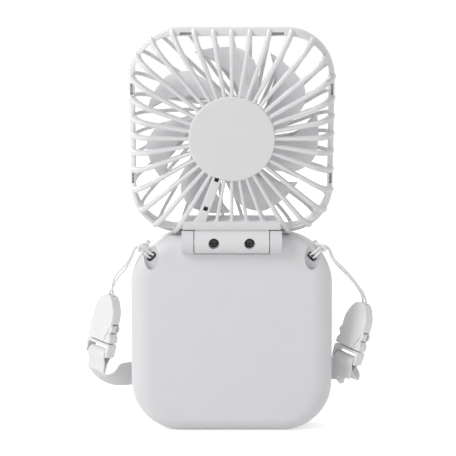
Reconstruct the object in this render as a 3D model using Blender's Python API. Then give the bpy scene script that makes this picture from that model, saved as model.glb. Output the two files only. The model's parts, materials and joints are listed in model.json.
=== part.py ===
"""A folding handheld fan, opened, as an assembly of separate solids.

The body stands on its flat base. +Z is up, +X is to the right for someone who looks at the
back of the fan, and +Y runs from the back, where air goes in, to the front. The origin is the
middle of the base. Lengths are in metres.
"""

import math

import bmesh
import bpy
from mathutils import Matrix, Vector

# The fan as a whole
BODY_WIDTH = 0.082
BODY_HEIGHT = 0.0805
BODY_DEPTH = 0.026
HEAD_EXTRA_HEIGHT = 0.0012
HEAD_DEPTH = 0.026
HEAD_LEAN_DEGREES = 10
WALL = 0.002
FIT_GAP = 0.0003
OVERRUN = 0.004

# The body's shape
BODY_CORNER = 0.020
BACK_SIDE_FILLET = 0.0085
BACK_END_FILLET = 0.0055
BACK_FILLET_DEPTH = 0.006
FRONT_FILLET = 0.005
FRONT_FILLET_DEPTH = 0.006
PARTING_SETBACK = 0.0115
LIP_HEIGHT = 0.0015
LIP_THICKNESS = 0.00075

# The hinge
BARREL_RADIUS = 0.0046
HINGE_DROP = 0.0022
FACE_GAP = 0.0004
CENTRE_KNUCKLE_HALF = 0.0150
BARREL_HALF = 0.0201
WELL_CLEARANCE = 0.0004
WELL_WALL = 0.0019
PIN_RADIUS = 0.0011
PIN_END_WALL = 0.001
SLEEVE_WALL = 0.0007
PIN_START = 0.0107
HINGE_SCREW_SPACING = 0.0143
HINGE_SCREW_LIFT = 0.0005
SCREW_HEAD_RADIUS = 0.0019
SCREW_HEAD_HEIGHT = 0.0011
SCREW_RECESS_DEPTH = 0.0027
SCREW_SHANK_RADIUS = 0.0008
HINGE_SCREW_LENGTH = 0.0062
CROSS_SLOT_WIDTH = 0.0005
CROSS_SLOT_DEPTH = 0.0006
CROSS_SLOT_SHARE = 0.6
BRACKET_HALF = 0.0196
BRACKET_TOP = 0.0084
BRACKET_LOW = 0.0018
BRACKET_DEPTH = 0.0095
BRACKET_SETBACK = 0.0002

# The corner tunnels that the cords are hitched through
TUNNEL_INSET = 0.0038
TUNNEL_LENGTH = 0.0046
TUNNEL_HEIGHT = 0.0025
TUNNEL_WALL = 0.0018
POCKET_HALF_WIDTH = 0.0030
POCKET_HALF_HEIGHT = 0.0051
POCKET_DEPTH = 0.0032

# The battery and what holds it
CELL_RADIUS = 0.0091
CELL_END_ROOM = 0.0085
CELL_NUB_RADIUS = 0.0030
CELL_NUB_LENGTH = 0.0008
CELL_DROP = 0.0265
CELL_OFFSET = 0.0006
CRADLE_END_ROOM = 0.0085
CRADLE_THICKNESS = 0.0018
CRADLE_HALF_HEIGHT = 0.0095
CRADLE_OPENING = 0.003

# The circuit board and what sits on it
BOARD_WIDTH = 0.038
BOARD_LOW = 0.0036
BOARD_CELL_GAP = 0.0029
BOARD_THICKNESS = 0.0012
BOARD_STANDOFF = 0.0036
BOARD_CORNER = 0.002
BOSS_RADIUS = 0.0024
BOSS_INSET = 0.0034
BOARD_SCREW_RADIUS = 0.0008
BOARD_SCREW_HEAD_RADIUS = 0.0015
BOARD_SCREW_HEAD_HEIGHT = 0.001
BOARD_SCREW_LENGTH = 0.004
BOARD_SCREW_CLEARANCE = 0.0003
PORT_WIDTH = 0.0090
PORT_THICKNESS = 0.0032
PORT_LENGTH = 0.0074
PORT_WALL = 0.00035
PORT_MOUTH_RECESS = 0.0004
PORT_TONGUE_WIDTH = 0.0067
PORT_TONGUE_THICKNESS = 0.0007
PORT_TONGUE_RECESS = 0.0008
CHIP_SIZE = 0.006
CHIP_HEIGHT = 0.0011
CHIP_SIDE = -0.010
CHIP_HEIGHT_SHARE = 0.375
INDUCTOR_SIZE = 0.007
INDUCTOR_HEIGHT = 0.0028
INDUCTOR_SIDE = 0.009
INDUCTOR_HEIGHT_SHARE = 0.583
LIGHT_SIZE = 0.0012
LIGHT_HEIGHT = 0.0007

# The power button and the indicator lens on the front
BUTTON_RADIUS = 0.0055
BUTTON_LENS_GAP = 0.0009
BUTTON_PROUD = 0.0004
BUTTON_FLANGE = 0.0009
BUTTON_FLANGE_THICKNESS = 0.0007
BUTTON_STEM_RADIUS = 0.0016
BUTTON_TRAVEL = 0.0003
SWITCH_SIZE = 0.0045
SWITCH_HEIGHT = 0.0008
PLUNGER_RADIUS = 0.0011
PLUNGER_HEIGHT = 0.0006
LENS_HALF_WIDTH = 0.005
LENS_HALF_HEIGHT = 0.0008
LENS_BELOW_BOARD_TOP = 0.0015
LENS_RECESS = 0.0002
LENS_FLANGE = 0.0009
LENS_FLANGE_THICKNESS = 0.0008

# The head's shape
HEAD_CORNER = 0.019
HEAD_LOW = 0.0007
HUB_RADIUS = 0.0172
HUB_THICKNESS = 0.0022
HUB_EDGE = 0.0006
RIM_PLANE = 0.0125
RIM_WIDTH = 0.0020
RIM_HEIGHT = 0.0032
RIB_COUNT = 36
RIB_FILLET = 0.009
RIB_PROUD = 0.0003
RIB_DEPTH = 0.0024
RIB_SETBACK = 0.00035
RIB_WIDTH = 0.0015
RIB_FOOT_WIDTH = 0.0021
RIB_ROOT = 0.0009
RIB_CREST_SHARE = 0.7
RIB_FOOT_IN_BRACKET = 0.0015
CHANNEL_RIB_DEGREES = 250
CHANNEL_RIB_WIDTH = 0.0039
CHANNEL_RIB_DEPTH = 0.0036
CHANNEL_WIDTH = 0.0025
CHANNEL_SKIN = 0.001
CHANNEL_COVER_THICKNESS = 0.0007
CHANNEL_END_HEIGHT = 0.0062
WINDOW_SIZE = 0.0018
WINDOW_DISTANCES = (0.0176, 0.0304)
LATCH_LENGTH = 0.0046
LATCH_OFFSET = 0.0182
LATCH_INSET = 0.00115
LATCH_THICKNESS = 0.0010
TAB_HEIGHT = 0.0014
TAB_ROOT = 0.0008

# The head's front shell
GRILLE_FILLET = 0.0070
GRILLE_FILLET_DEPTH = 0.0070
GRILLE_EDGE = 0.0006
GRILLE_HUB_RADIUS = 0.011
GRILLE_HUB_THICKNESS = 0.0028
GRILLE_HUB_RECESS = 0.0003
SLANT_COUNT = 31
SLANT_OFFSET = 0.0075
SLANT_WIDTH = 0.0014
SLANT_DEPTH = 0.0016
SLANT_INSET = 0.00025
SLANT_FOOT = 0.0010
SLANT_STEPS = 3

# The motor, measured from the inner face of the hub disc
MOTOR_PLATE_RADIUS = 0.0115
MOTOR_PLATE_THICKNESS = 0.0012
MOTOR_TUBE_RADIUS = 0.0032
MOTOR_TUBE_LENGTH = 0.0084
BEARING_RADIUS = 0.0026
BEARING_BORE = 0.0011
BEARING_LENGTH = 0.0020
SHAFT_RADIUS = 0.0008
STATOR_RADIUS = 0.0095
STATOR_CORE_RADIUS = 0.0055
STATOR_START = 0.0024
STATOR_LENGTH = 0.0042
STATOR_TOOTH_WIDTH = 0.0016
TOOTH_COUNT = 6
COIL_LENGTH = 0.0028
COIL_OVERHANG = 0.0008
COIL_SIDE = 0.00045
MAGNET_THICKNESS = 0.0009
AIR_GAP = 0.0004
BELL_WALL = 0.0008
BELL_START = 0.0018
BELL_LENGTH = 0.0105
MOTOR_SCREW_CIRCLE = 0.0085
MOTOR_SCREW_FIRST_DEGREES = 97
MOTOR_SCREW_RADIUS = 0.0007
MOTOR_SCREW_HEAD_RADIUS = 0.0013
MOTOR_SCREW_HEAD_HEIGHT = 0.0005
MOTOR_SCREW_LENGTH = 0.0024

# The impeller
BLADE_COUNT = 7
BLADE_TIP_CLEARANCE = 0.004
BLADE_FIRST_DEGREES = 97.2
BLADE_SWEEP_DEGREES = 36
BLADE_ROOT_ARC_DEGREES = 28
BLADE_TIP_ARC_DEGREES = 36
BLADE_THICKNESS = 0.0011
BLADE_ROOT_PITCH = 0.0118
BLADE_TIP_PITCH = 0.0070
BLADE_TIP_ROUND = 0.004
BLADE_ROUND_SHARE = 0.25
BLADE_CAMBER_SHARE = 0.25
BLADE_SHIFT_SHARE = 0.25
BLADE_ROWS = 5
BLADE_COLUMNS = 7
IMPELLER_HUB_WALL = 0.0013
IMPELLER_HUB_GAP = 0.0005
IMPELLER_HUB_START = 0.003
IMPELLER_HUB_LENGTH = 0.013
IMPELLER_BOSS_RADIUS = 0.003
IMPELLER_HUB_ROUND = 0.0015

# The cords, buckles and ribbon of the strap
CORD_RADIUS = 0.0004
BUCKLE_WIDTH = 0.0134
BUCKLE_THICKNESS = 0.0048
BUCKLE_BEVEL = 0.0006
BUCKLE_GAP = 0.0004
SOCKET_LOW = -0.0064
SOCKET_HIGH = 0.0128
SOCKET_POCKET_HALF_WIDTH = 0.0047
SOCKET_POCKET_HALF_THICKNESS = 0.0014
SOCKET_POCKET_TOP = 0.0072
SOCKET_WINDOW_LOW = -0.0026
SOCKET_WINDOW_HIGH = 0.0016
SOCKET_EYE_HALF_WIDTH = 0.0020
SOCKET_EYE_HALF_THICKNESS = 0.0008
SOCKET_EYE_LOW = 0.0080
SOCKET_BAR_HEIGHT = 0.0100
SOCKET_BAR_RADIUS = 0.0004
CLIP_LOW = -0.0126
CLIP_TOP_GAP = 0.0004
CLIP_BAR = 0.0018
CLIP_BAR_HALF_THICKNESS = 0.0009
CLIP_SLOT_HEIGHT = 0.0028
CLIP_SLOT_HALF_WIDTH = 0.0054
PRONG_INNER = 0.0026
PRONG_OUTER = 0.0041
PRONG_HALF_THICKNESS = 0.0010
PRONG_TOP = 0.0066
PRONG_GRIP_LOW = -0.0021
PRONG_GRIP_HIGH = 0.0011
PRONG_GRIP_REACH = 0.0062
TONGUE_HALF_WIDTH = 0.0009
TONGUE_TOP = 0.0050
RIBBON_WIDTH = 0.0100
RIBBON_THICKNESS = 0.0008
LEFT_BUCKLE_PLACE = (-0.0521, -0.0020, 0.0425)
LEFT_BUCKLE_LEAN_DEGREES = 11.3
LEFT_BUCKLE_YAW_DEGREES = -43
RIGHT_BUCKLE_PLACE = (0.0509, -0.0010, 0.0392)
RIGHT_BUCKLE_LEAN_DEGREES = 16.2
RIGHT_BUCKLE_YAW_DEGREES = -45

# Shares of a buckle half's length and of its half width, from its low end to its high end
SOCKET_OUTLINE_SHARES = (
    (0.0, 0.96), (0.06, 0.99), (0.12, 0.97), (0.165, 0.88), (0.20, 0.83), (0.235, 0.90),
    (0.27, 0.98), (0.31, 1.0), (0.35, 0.98), (0.385, 0.90), (0.42, 0.87), (0.505, 0.89),
    (0.615, 0.87), (0.695, 0.82), (0.78, 0.72), (0.905, 0.53), (0.975, 0.34), (1.0, 0.20),
)
CLIP_OUTLINE_SHARES = (
    (0.0, 0.92), (0.19, 0.97), (0.45, 0.985), (0.70, 1.0), (0.90, 0.99), (1.0, 0.96),
)

# Smoothness
CORNER_STEPS = 6
FILLET_STEPS = 4
INNER_STEPS = 2
RIB_STEPS = 3
ROUND_SEGMENTS = 24
# Two more than a multiple of four, so that the barrel's underside is a flat
# strip that stands square to the body's back.
BARREL_SEGMENTS = 26
SMALL_SEGMENTS = 12
TINY_SEGMENTS = 8
CORD_RESOLUTION = 2
SPLINE_STEPS = 8
ROUTE_STEP = 0.0008
ROUTE_SLACK = 0.00015
ROUTE_LONGEST = 9

# Routes chosen by hand. The hitch is written for the left corner: how far along the corner,
# how far out of it, and y. Both strands leave it through the loop that it ends in.
CORD_HITCH_ROUTE = (
    (-0.0076, 0.0056, -0.0100), (-0.0052, 0.0063, -0.0104), (-0.0026, 0.0073, -0.0106),
    (-0.0006, 0.0069, -0.0106), (0.0002, 0.0054, -0.0106), (0.0005, 0.0036, -0.0110),
    (0.0008, 0.0017, -0.0111), (0.0009, 0.0005, -0.0101), (0.0009, 0.0000, -0.0070),
    (0.0009, 0.0000, 0.0000), (0.0009, 0.0000, 0.0075), (0.0009, 0.0006, 0.0112),
    (0.0009, 0.0024, 0.0124), (0.0009, 0.0042, 0.0108), (0.0009, 0.0047, 0.0072),
    (0.0009, 0.0047, 0.0000), (0.0009, 0.0047, -0.0060), (0.0015, 0.0050, -0.0086),
    (0.0018, 0.0055, -0.0108), (0.0012, 0.0063, -0.0122), (0.0001, 0.0066, -0.0127),
    (-0.0013, 0.0060, -0.0122), (-0.0019, 0.0053, -0.0108), (-0.0017, 0.0049, -0.0086),
    (-0.0009, 0.0047, -0.0060), (-0.0009, 0.0047, 0.0000), (-0.0009, 0.0047, 0.0072),
    (-0.0009, 0.0042, 0.0108), (-0.0009, 0.0024, 0.0124), (-0.0009, 0.0006, 0.0112),
    (-0.0009, 0.0000, 0.0075), (-0.0009, 0.0000, 0.0000), (-0.0009, 0.0000, -0.0070),
    (-0.0009, 0.0005, -0.0101), (-0.0008, 0.0017, -0.0111), (-0.0008, 0.0036, -0.0110),
    (-0.0009, 0.0052, -0.0097), (-0.0015, 0.0064, -0.0092), (-0.0030, 0.0069, -0.0091),
    (-0.0052, 0.0058, -0.0089), (-0.0076, 0.0050, -0.0086),
)
LEFT_CORD_UP = (
    (-0.0489, -0.0042, 0.0584), (-0.0482, -0.0062, 0.0614), (-0.0466, -0.0082, 0.0648),
    (-0.0442, -0.0094, 0.0674),
)
LEFT_CORD_DOWN = (
    (-0.0432, -0.0076, 0.0666), (-0.0458, -0.0058, 0.0636), (-0.0479, -0.0034, 0.0600),
)
RIGHT_CORD_UP = (
    (0.0541, -0.0034, 0.0556), (0.0517, -0.0056, 0.0592), (0.0487, -0.0076, 0.0632),
    (0.0454, -0.0092, 0.0670),
)
RIGHT_CORD_DOWN = (
    (0.0444, -0.0076, 0.0666), (0.0480, -0.0060, 0.0630), (0.0511, -0.0038, 0.0590),
    (0.0534, -0.0016, 0.0552),
)
# A strand's way out from under the buckle's bar, as width and height places in the buckle's frame
CORD_EYE_ROUTE = (
    (0.00015, 0.0088), (0.00085, 0.00915), (0.0012, 0.0100), (0.00115, 0.0110), (0.00095, 0.0122),
    (0.0009, 0.0136),
)
# The ribbon's ends are written in the buckle's own frame, as thickness and height places.
RIBBON_END_ROUTE = (
    (-0.00058, -0.0190), (-0.00060, -0.0165), (-0.0011, -0.0146), (-0.0018, -0.0130),
    (-0.0020, -0.0117), (-0.0016, -0.0104), (0.0000, -0.0096), (0.0016, -0.0104),
    (0.0020, -0.0117), (0.0018, -0.0130), (0.0011, -0.0146), (0.00060, -0.0165),
)
RIBBON_BACK_ROUTE = (
    (-0.0556, -0.0002, 0.0230), (-0.0540, 0.0036, 0.0204), (-0.0508, 0.0084, 0.0190),
    (-0.0458, 0.0126, 0.0186), (-0.0400, 0.0148, 0.0188), (-0.0300, 0.0155, 0.0186),
    (-0.0150, 0.0159, 0.0180), (0.0000, 0.0160, 0.0178), (0.0150, 0.0159, 0.0184),
    (0.0290, 0.0155, 0.0200), (0.0380, 0.0151, 0.0208), (0.0440, 0.0142, 0.0210),
    (0.0476, 0.0114, 0.0206), (0.0486, 0.0072, 0.0198), (0.0484, 0.0028, 0.0198),
)
RIBBON_TURN_SHARES = (0.14, 0.26, 0.775, 0.885)
MOTOR_LEAD_RADIUS = 0.0004
MOTOR_LEAD_SPACING = 0.0011
BODY_LEAD_RADIUS = 0.0005
BODY_LEAD_SPACING = 0.0014
# The hinge leads run from above the board's top, and under the hinge, to below its axis.
BODY_LEAD_START_ROUTE = ((-0.0060, 0.0056, 0.0008), (-0.0060, 0.0020, 0.0016), (-0.0060, -0.0050, 0.0018))
BODY_LEAD_END_ROUTE = (
    (-0.0060, -0.0092, -0.0321), (-0.0060, -0.0099, -0.0263), (-0.0060, -0.0099, -0.0183),
    (-0.0060, -0.0094, -0.0115), (-0.0060, -0.0088, -0.0083),
)
# The cell's leads: past its end, y and below its middle, then past the board's side and below its top.
CELL_LEAD_START_ROUTE = ((0.0013, 0.0006, 0.0000), (0.0021, 0.0012, -0.0060), (0.0005, 0.0030, -0.0120))
CELL_LEAD_END_ROUTE = ((0.0080, 0.0044, -0.0050), (0.0025, 0.0050, -0.0070))

# Worked out from the sizes above
BACK = -BODY_DEPTH / 2
FRONT = BODY_DEPTH / 2
PARTING = FRONT - PARTING_SETBACK
AXIS_Y = BACK - FACE_GAP
AXIS_Z = BODY_HEIGHT - HINGE_DROP
HEAD_BACK = FACE_GAP
HEAD_LEAN = math.radians(HEAD_LEAN_DEGREES)
WELL_RADIUS = BARREL_RADIUS + WELL_CLEARANCE
PIN_BORE = PIN_RADIUS + FIT_GAP
SLEEVE_RADIUS = PIN_BORE + SLEEVE_WALL
SLEEVE_SEAT = SLEEVE_RADIUS + FIT_GAP
# The head is as wide as the body that it folds onto, and its hub is in its middle.
HEAD_WIDTH = BODY_WIDTH
HEAD_HEIGHT = HEAD_WIDTH + HEAD_EXTRA_HEIGHT
HUB_HEIGHT = HEAD_LOW + HEAD_HEIGHT / 2
BLADE_TIP_RADIUS = HEAD_WIDTH / 2 - WALL - BLADE_TIP_CLEARANCE
BODY_OUTLINE = (BODY_WIDTH / 2, 0, BODY_HEIGHT, BODY_CORNER)
HEAD_OUTLINE = (HEAD_WIDTH / 2, HEAD_LOW, HEAD_LOW + HEAD_HEIGHT, HEAD_CORNER)
MOTOR_BASE = HEAD_BACK + HUB_THICKNESS + FIT_GAP
CELL_LENGTH = BODY_WIDTH - 2 * CELL_END_ROOM
CELL_HEIGHT = BODY_HEIGHT - CELL_DROP
CRADLE_SPREAD = CELL_LENGTH / 2 - CRADLE_END_ROOM
BOARD_HIGH = CELL_HEIGHT - CELL_RADIUS - BOARD_CELL_GAP
LENS_HEIGHT_ON_BODY = BOARD_HIGH - LENS_BELOW_BOARD_TOP
BUTTON_TO_LENS = BUTTON_RADIUS + BUTTON_FLANGE + LENS_HALF_HEIGHT + LENS_FLANGE + BUTTON_LENS_GAP
BUTTON_HEIGHT_ON_BODY = LENS_HEIGHT_ON_BODY - BUTTON_TO_LENS
BOARD_FRONT = FRONT - WALL - BOARD_STANDOFF
BOARD_BACK = BOARD_FRONT - BOARD_THICKNESS


def material(name, colour, roughness, metallic=0.0):
    made = bpy.data.materials.new(name)
    made.use_nodes = True
    shader = made.node_tree.nodes["Principled BSDF"]
    shader.inputs["Base Color"].default_value = (*colour, 1)
    shader.inputs["Roughness"].default_value = roughness
    shader.inputs["Metallic"].default_value = metallic
    made.diffuse_color = (*colour, 1)
    return made


def add(name, mesh, finish, parent=None):
    made = bpy.data.objects.new(name, mesh)
    bpy.context.scene.collection.objects.link(made)
    made.parent = parent
    if finish:
        mesh.materials.append(finish)
    return made


def finished(name, edit, finish, parent=None, place=(0, 0, 0)):
    """An object out of an edited mesh, with its faces turned out."""
    bmesh.ops.recalc_face_normals(edit, faces=edit.faces)
    mesh = bpy.data.meshes.new(name)
    edit.to_mesh(mesh)
    edit.free()
    made = add(name, mesh, finish, parent)
    made.location = place
    return made


def solid(name, rings, finish=None, closed=False, parent=None):
    """A skin over rings of points: capped at both ends, or joined end to end."""
    edit = bmesh.new()
    loops = [[edit.verts.new(p) for p in ring] for ring in rings]
    if not closed:
        edit.faces.new(loops[0])
        edit.faces.new(loops[-1])
    following = loops[1:] + loops[:1] if closed else loops[1:]
    for first, second in zip(loops, following, strict=closed):
        for a, b, c, d in zip(first, first[1:] + first[:1], second[1:] + second[:1], second, strict=True):
            edit.faces.new((a, b, c, d))
    return finished(name, edit, finish, parent)


def joined(name, pieces, finish, parent=None):
    """One object out of several solids, which stay separate bodies in it."""
    edit = bmesh.new()
    for piece in pieces:
        piece.data.transform(piece.matrix_basis)
        edit.from_mesh(piece.data)
        bpy.data.objects.remove(piece)
    mesh = bpy.data.meshes.new(name)
    edit.to_mesh(mesh)
    edit.free()
    return add(name, mesh, finish, parent)


def combine(target, tool, operation):
    made = target.modifiers.new(operation.lower(), "BOOLEAN")
    made.operation = operation
    made.object = tool
    tool.hide_render = True
    tool.display_type = "WIRE"


def cut(target, *tools):
    for tool in tools:
        combine(target, tool, "DIFFERENCE")


def fuse(target, *tools):
    for tool in tools:
        combine(target, tool, "UNION")


def smooth_shaded(made):
    made.data.shade_smooth()
    made.data.set_sharp_from_angle(angle=math.radians(35))
    return made


def block(name, low, high, finish=None, parent=None):
    """A box between two corners."""
    edit = bmesh.new()
    bmesh.ops.create_cube(edit, size=1)
    bmesh.ops.scale(edit, vec=[b - a for a, b in zip(low, high, strict=True)], verts=edit.verts)
    middle = [(a + b) / 2 for a, b in zip(low, high, strict=True)]
    return finished(name, edit, finish, parent, middle)


def drawn_out(name, points, step, finish, parent):
    """A flat outline extruded by a step."""
    edit = bmesh.new()
    face = edit.faces.new([edit.verts.new(p) for p in points])
    grown = bmesh.ops.extrude_face_region(edit, geom=[face])["geom"]
    far = [item for item in grown if isinstance(item, bmesh.types.BMVert)]
    bmesh.ops.translate(edit, vec=step, verts=far)
    return finished(name, edit, finish, parent)


def slab(name, outline, low, high, finish=None, parent=None):
    """An outline in x and z, drawn out along y."""
    return drawn_out(name, [(x, low, z) for x, z in outline], (0, high - low, 0), finish, parent)


def upright(name, outline, low, high, finish=None, parent=None):
    """An outline in x and y, drawn out along z."""
    return drawn_out(name, [(x, y, low) for x, y in outline], (0, 0, high - low), finish, parent)


def circle(radius, along, segments, axis):
    """Points of a circle about a row axis, at a place along it."""
    ring = []
    for i in range(segments):
        a = math.tau * i / segments
        c, s = radius * math.cos(a), radius * math.sin(a)
        ring.append((along, c, s) if axis == "X" else (c, along, s))
    return ring


def turned(name, profile, at=(0, 0, 0), finish=None, axis="Y", segments=ROUND_SEGMENTS, closed=False, parent=None):
    """A solid turned from (radius, place along the axis) pairs, about a line through at."""
    rings = [circle(radius, along, segments, axis) for radius, along in profile]
    made = solid(name, rings, finish, closed, parent)
    made.location = at
    return smooth_shaded(made)


def rod(name, radius, low, high, at=(0, 0, 0), finish=None, axis="Y", segments=SMALL_SEGMENTS, parent=None):
    return turned(name, [(radius, low), (radius, high)], at, finish, axis, segments, parent=parent)


def bush(name, inner, outer, low, high, at=(0, 0, 0), finish=None, axis="Y", segments=SMALL_SEGMENTS, parent=None):
    profile = [(outer, low), (outer, high), (inner, high), (inner, low)]
    return turned(name, profile, at, finish, axis, segments, closed=True, parent=parent)


def rounded_outline(outline, side=0.0, end=0.0):
    """Points of a rounded rectangle in x and z, drawn in by side and end."""
    half, low, high, corner = outline
    radius_x, radius_z = corner - side, corner - end
    points = []
    for x_sign, z_sign, start in ((1, 1, 0), (-1, 1, 90), (-1, -1, 180), (1, -1, 270)):
        x = x_sign * (half - corner)
        z = high - corner if z_sign > 0 else low + corner
        for i in range(CORNER_STEPS + 1):
            a = math.radians(start + 90 * i / CORNER_STEPS)
            points.append((x + radius_x * math.cos(a), z + radius_z * math.sin(a)))
    return points


def outline_ring(outline, side, end, y):
    return [(x, y, z) for x, z in rounded_outline(outline, side, end)]


def fillet(side, end, depth, steps=FILLET_STEPS):
    """(side inset, end inset, depth below the face), from the flat face to the side wall."""
    for i in range(steps + 1):
        a = math.radians(90 * i / steps)
        yield side * (1 - math.sin(a)), end * (1 - math.sin(a)), depth * (1 - math.cos(a))


def inset_of(x, z, outline):
    """How far a point lies inside a rounded rectangle."""
    half, low, high, corner = outline
    qx = abs(x) - (half - corner)
    qz = abs(z - (low + high) / 2) - ((high - low) / 2 - corner)
    outside = math.hypot(max(qx, 0), max(qz, 0)) + min(max(qx, qz), 0)
    return corner - outside


def reach(start, direction, inset, outline):
    """How far along a line from start the point lies that is so far inside the outline."""
    near, far = 0.0, outline[0] * 2
    for _ in range(40):
        middle = (near + far) / 2
        x = start[0] + direction[0] * middle
        z = start[1] + direction[1] * middle
        if inset_of(x, z, outline) > inset:
            near = middle
        else:
            far = middle
    return near


def smooth_route(points):
    """Evenly spaced points on a smooth curve through the given ones."""
    route = [Vector(p) for p in points]
    ends = [2 * route[0] - route[1], *route, 2 * route[-1] - route[-2]]
    fine = [route[0]]
    for before, a, b, after in zip(ends, ends[1:], ends[2:], ends[3:], strict=False):
        for i in range(1, SPLINE_STEPS + 1):
            t = i / SPLINE_STEPS
            fine.append(
                0.5 * (2 * a + (b - before) * t + (2 * before - 5 * a + 4 * b - after) * t**2
                       + (3 * a - before - 3 * b + after) * t**3)
            )
    lengths = [0.0]
    for a, b in zip(fine, fine[1:], strict=False):
        lengths.append(lengths[-1] + (b - a).length)
    count = max(2, round(lengths[-1] / ROUTE_STEP))
    spaced, k = [], 0
    for i in range(count + 1):
        want = lengths[-1] * i / count
        while k < len(lengths) - 2 and lengths[k + 1] < want:
            k += 1
        t = (want - lengths[k]) / (lengths[k + 1] - lengths[k])
        spaced.append(fine[k].lerp(fine[k + 1], min(1, t)))
    return spaced


def kept_places(points):
    """Which points of a fine route to keep so that it stays within a little slack."""
    kept = [0]
    for i in range(1, len(points) - 1):
        start = points[kept[-1]]
        direction = (points[i + 1] - start).normalized()
        offsets = [p - start for p in points[kept[-1] + 1:i + 1]]
        off = max((v - direction * v.dot(direction)).length for v in offsets)
        if off > ROUTE_SLACK or i - kept[-1] >= ROUTE_LONGEST:
            kept.append(i)
    return [*kept, len(points) - 1]


def cord(name, route, radius, finish, parent=None):
    """A round cord as a curve with filled ends."""
    curve = bpy.data.curves.new(name, "CURVE")
    curve.dimensions = "3D"
    curve.bevel_depth = radius
    curve.bevel_resolution = CORD_RESOLUTION
    curve.use_fill_caps = True
    every = smooth_route(route)
    points = [every[i] for i in kept_places(every)]
    spline = curve.splines.new("POLY")
    spline.points.add(len(points) - 1)
    for point, place in zip(spline.points, points, strict=True):
        point.co = (*place, 1)
    return add(name, curve, finish, parent)


def pivot(name, place, rotation=None, parent=None):
    made = bpy.data.objects.new(name, None)
    bpy.context.scene.collection.objects.link(made)
    made.parent = parent
    made.location = place
    if rotation:
        made.rotation_euler = rotation.to_euler()
    return made


def back_layers(outline_inset, start, stop, steps=FILLET_STEPS):
    """Rings of the back half's shape, from its back face to y = stop, drawn in by a wall."""
    layers = []
    for side, end, depth in fillet(BACK_SIDE_FILLET, BACK_END_FILLET, BACK_FILLET_DEPTH, steps):
        layers.append(outline_ring(BODY_OUTLINE, side + outline_inset, end + outline_inset, start + depth))
    layers.append(outline_ring(BODY_OUTLINE, outline_inset, outline_inset, stop))
    return layers


def front_layers(outline_inset, start, stop, steps=FILLET_STEPS):
    layers = []
    for side, end, depth in fillet(FRONT_FILLET, FRONT_FILLET, FRONT_FILLET_DEPTH, steps):
        layers.append(outline_ring(BODY_OUTLINE, side + outline_inset, end + outline_inset, start - depth))
    layers.append(outline_ring(BODY_OUTLINE, outline_inset, outline_inset, stop))
    return layers


def corner_frame(side):
    """The middle of a corner tunnel, the direction along the corner and the one out of it."""
    slant = math.sqrt(0.5)
    centre_x = BODY_WIDTH / 2 - BODY_CORNER + slant * (BODY_CORNER - TUNNEL_INSET)
    centre_z = BODY_HEIGHT - BODY_CORNER + slant * (BODY_CORNER - TUNNEL_INSET)
    return (side * centre_x, centre_z), (-side * slant, slant), (side * slant, slant)


def stadium(centre, direction, length, width):
    """A slot's outline with round ends, in x and z."""
    across = (-direction[1], direction[0])
    points = []
    for end, turn in ((1, -90), (-1, 90)):
        for i in range(CORNER_STEPS + 1):
            a = math.radians(turn + 180 * i / CORNER_STEPS)
            along = end * (length - width) / 2 + width / 2 * math.cos(a)
            out = width / 2 * math.sin(a)
            points.append((centre[0] + direction[0] * along + across[0] * out,
                           centre[1] + direction[1] * along + across[1] * out))
    return points


def pocket_outline(side, grow):
    """The oval pocket round a tunnel's mouth, grown all round."""
    centre, _, _ = corner_frame(side)
    oval = []
    for i in range(ROUND_SEGMENTS):
        a = math.tau * i / ROUND_SEGMENTS
        oval.append((centre[0] + (POCKET_HALF_WIDTH + grow) * math.cos(a),
                     centre[1] + (POCKET_HALF_HEIGHT + grow) * math.sin(a)))
    return oval


def tunnel_walls(name, side, face, inward, stop):
    """What stays standing inside a shell round a corner tunnel and behind its pocket."""
    centre, along, _ = corner_frame(side)
    length = TUNNEL_LENGTH + 2 * TUNNEL_WALL
    outline = stadium(centre, along, length, TUNNEL_HEIGHT + 2 * TUNNEL_WALL)
    floor = face + inward * (POCKET_DEPTH + TUNNEL_WALL)
    tube = slab(name + "_tube", outline, *sorted((face, stop)))
    return tube, slab(name + "_pad", pocket_outline(side, TUNNEL_WALL), *sorted((face, floor)))


def tunnel_cutters(name, side, face, inward):
    """The tunnel itself and the oval pocket at its mouth."""
    centre, along, _ = corner_frame(side)
    tunnel = slab(name + "_tunnel", stadium(centre, along, TUNNEL_LENGTH, TUNNEL_HEIGHT),
                  BACK - 2 * OVERRUN, FRONT + 2 * OVERRUN)
    ends = sorted((face - inward * OVERRUN, face + inward * POCKET_DEPTH))
    return tunnel, slab(name + "_pocket", pocket_outline(side, 0), *ends)


def cradle(name, side, low, high):
    """A plate with a round seat for the battery."""
    x = side * CRADLE_SPREAD
    plate = block(
        name,
        (x - CRADLE_THICKNESS / 2, low, CELL_HEIGHT - CRADLE_HALF_HEIGHT),
        (x + CRADLE_THICKNESS / 2, high, CELL_HEIGHT + CRADLE_HALF_HEIGHT),
    )
    cut(plate, rod(name + "_seat", CELL_RADIUS + FIT_GAP, -OVERRUN, OVERRUN,
                   (x, CELL_OFFSET, CELL_HEIGHT), axis="X", segments=ROUND_SEGMENTS))
    return plate


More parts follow.
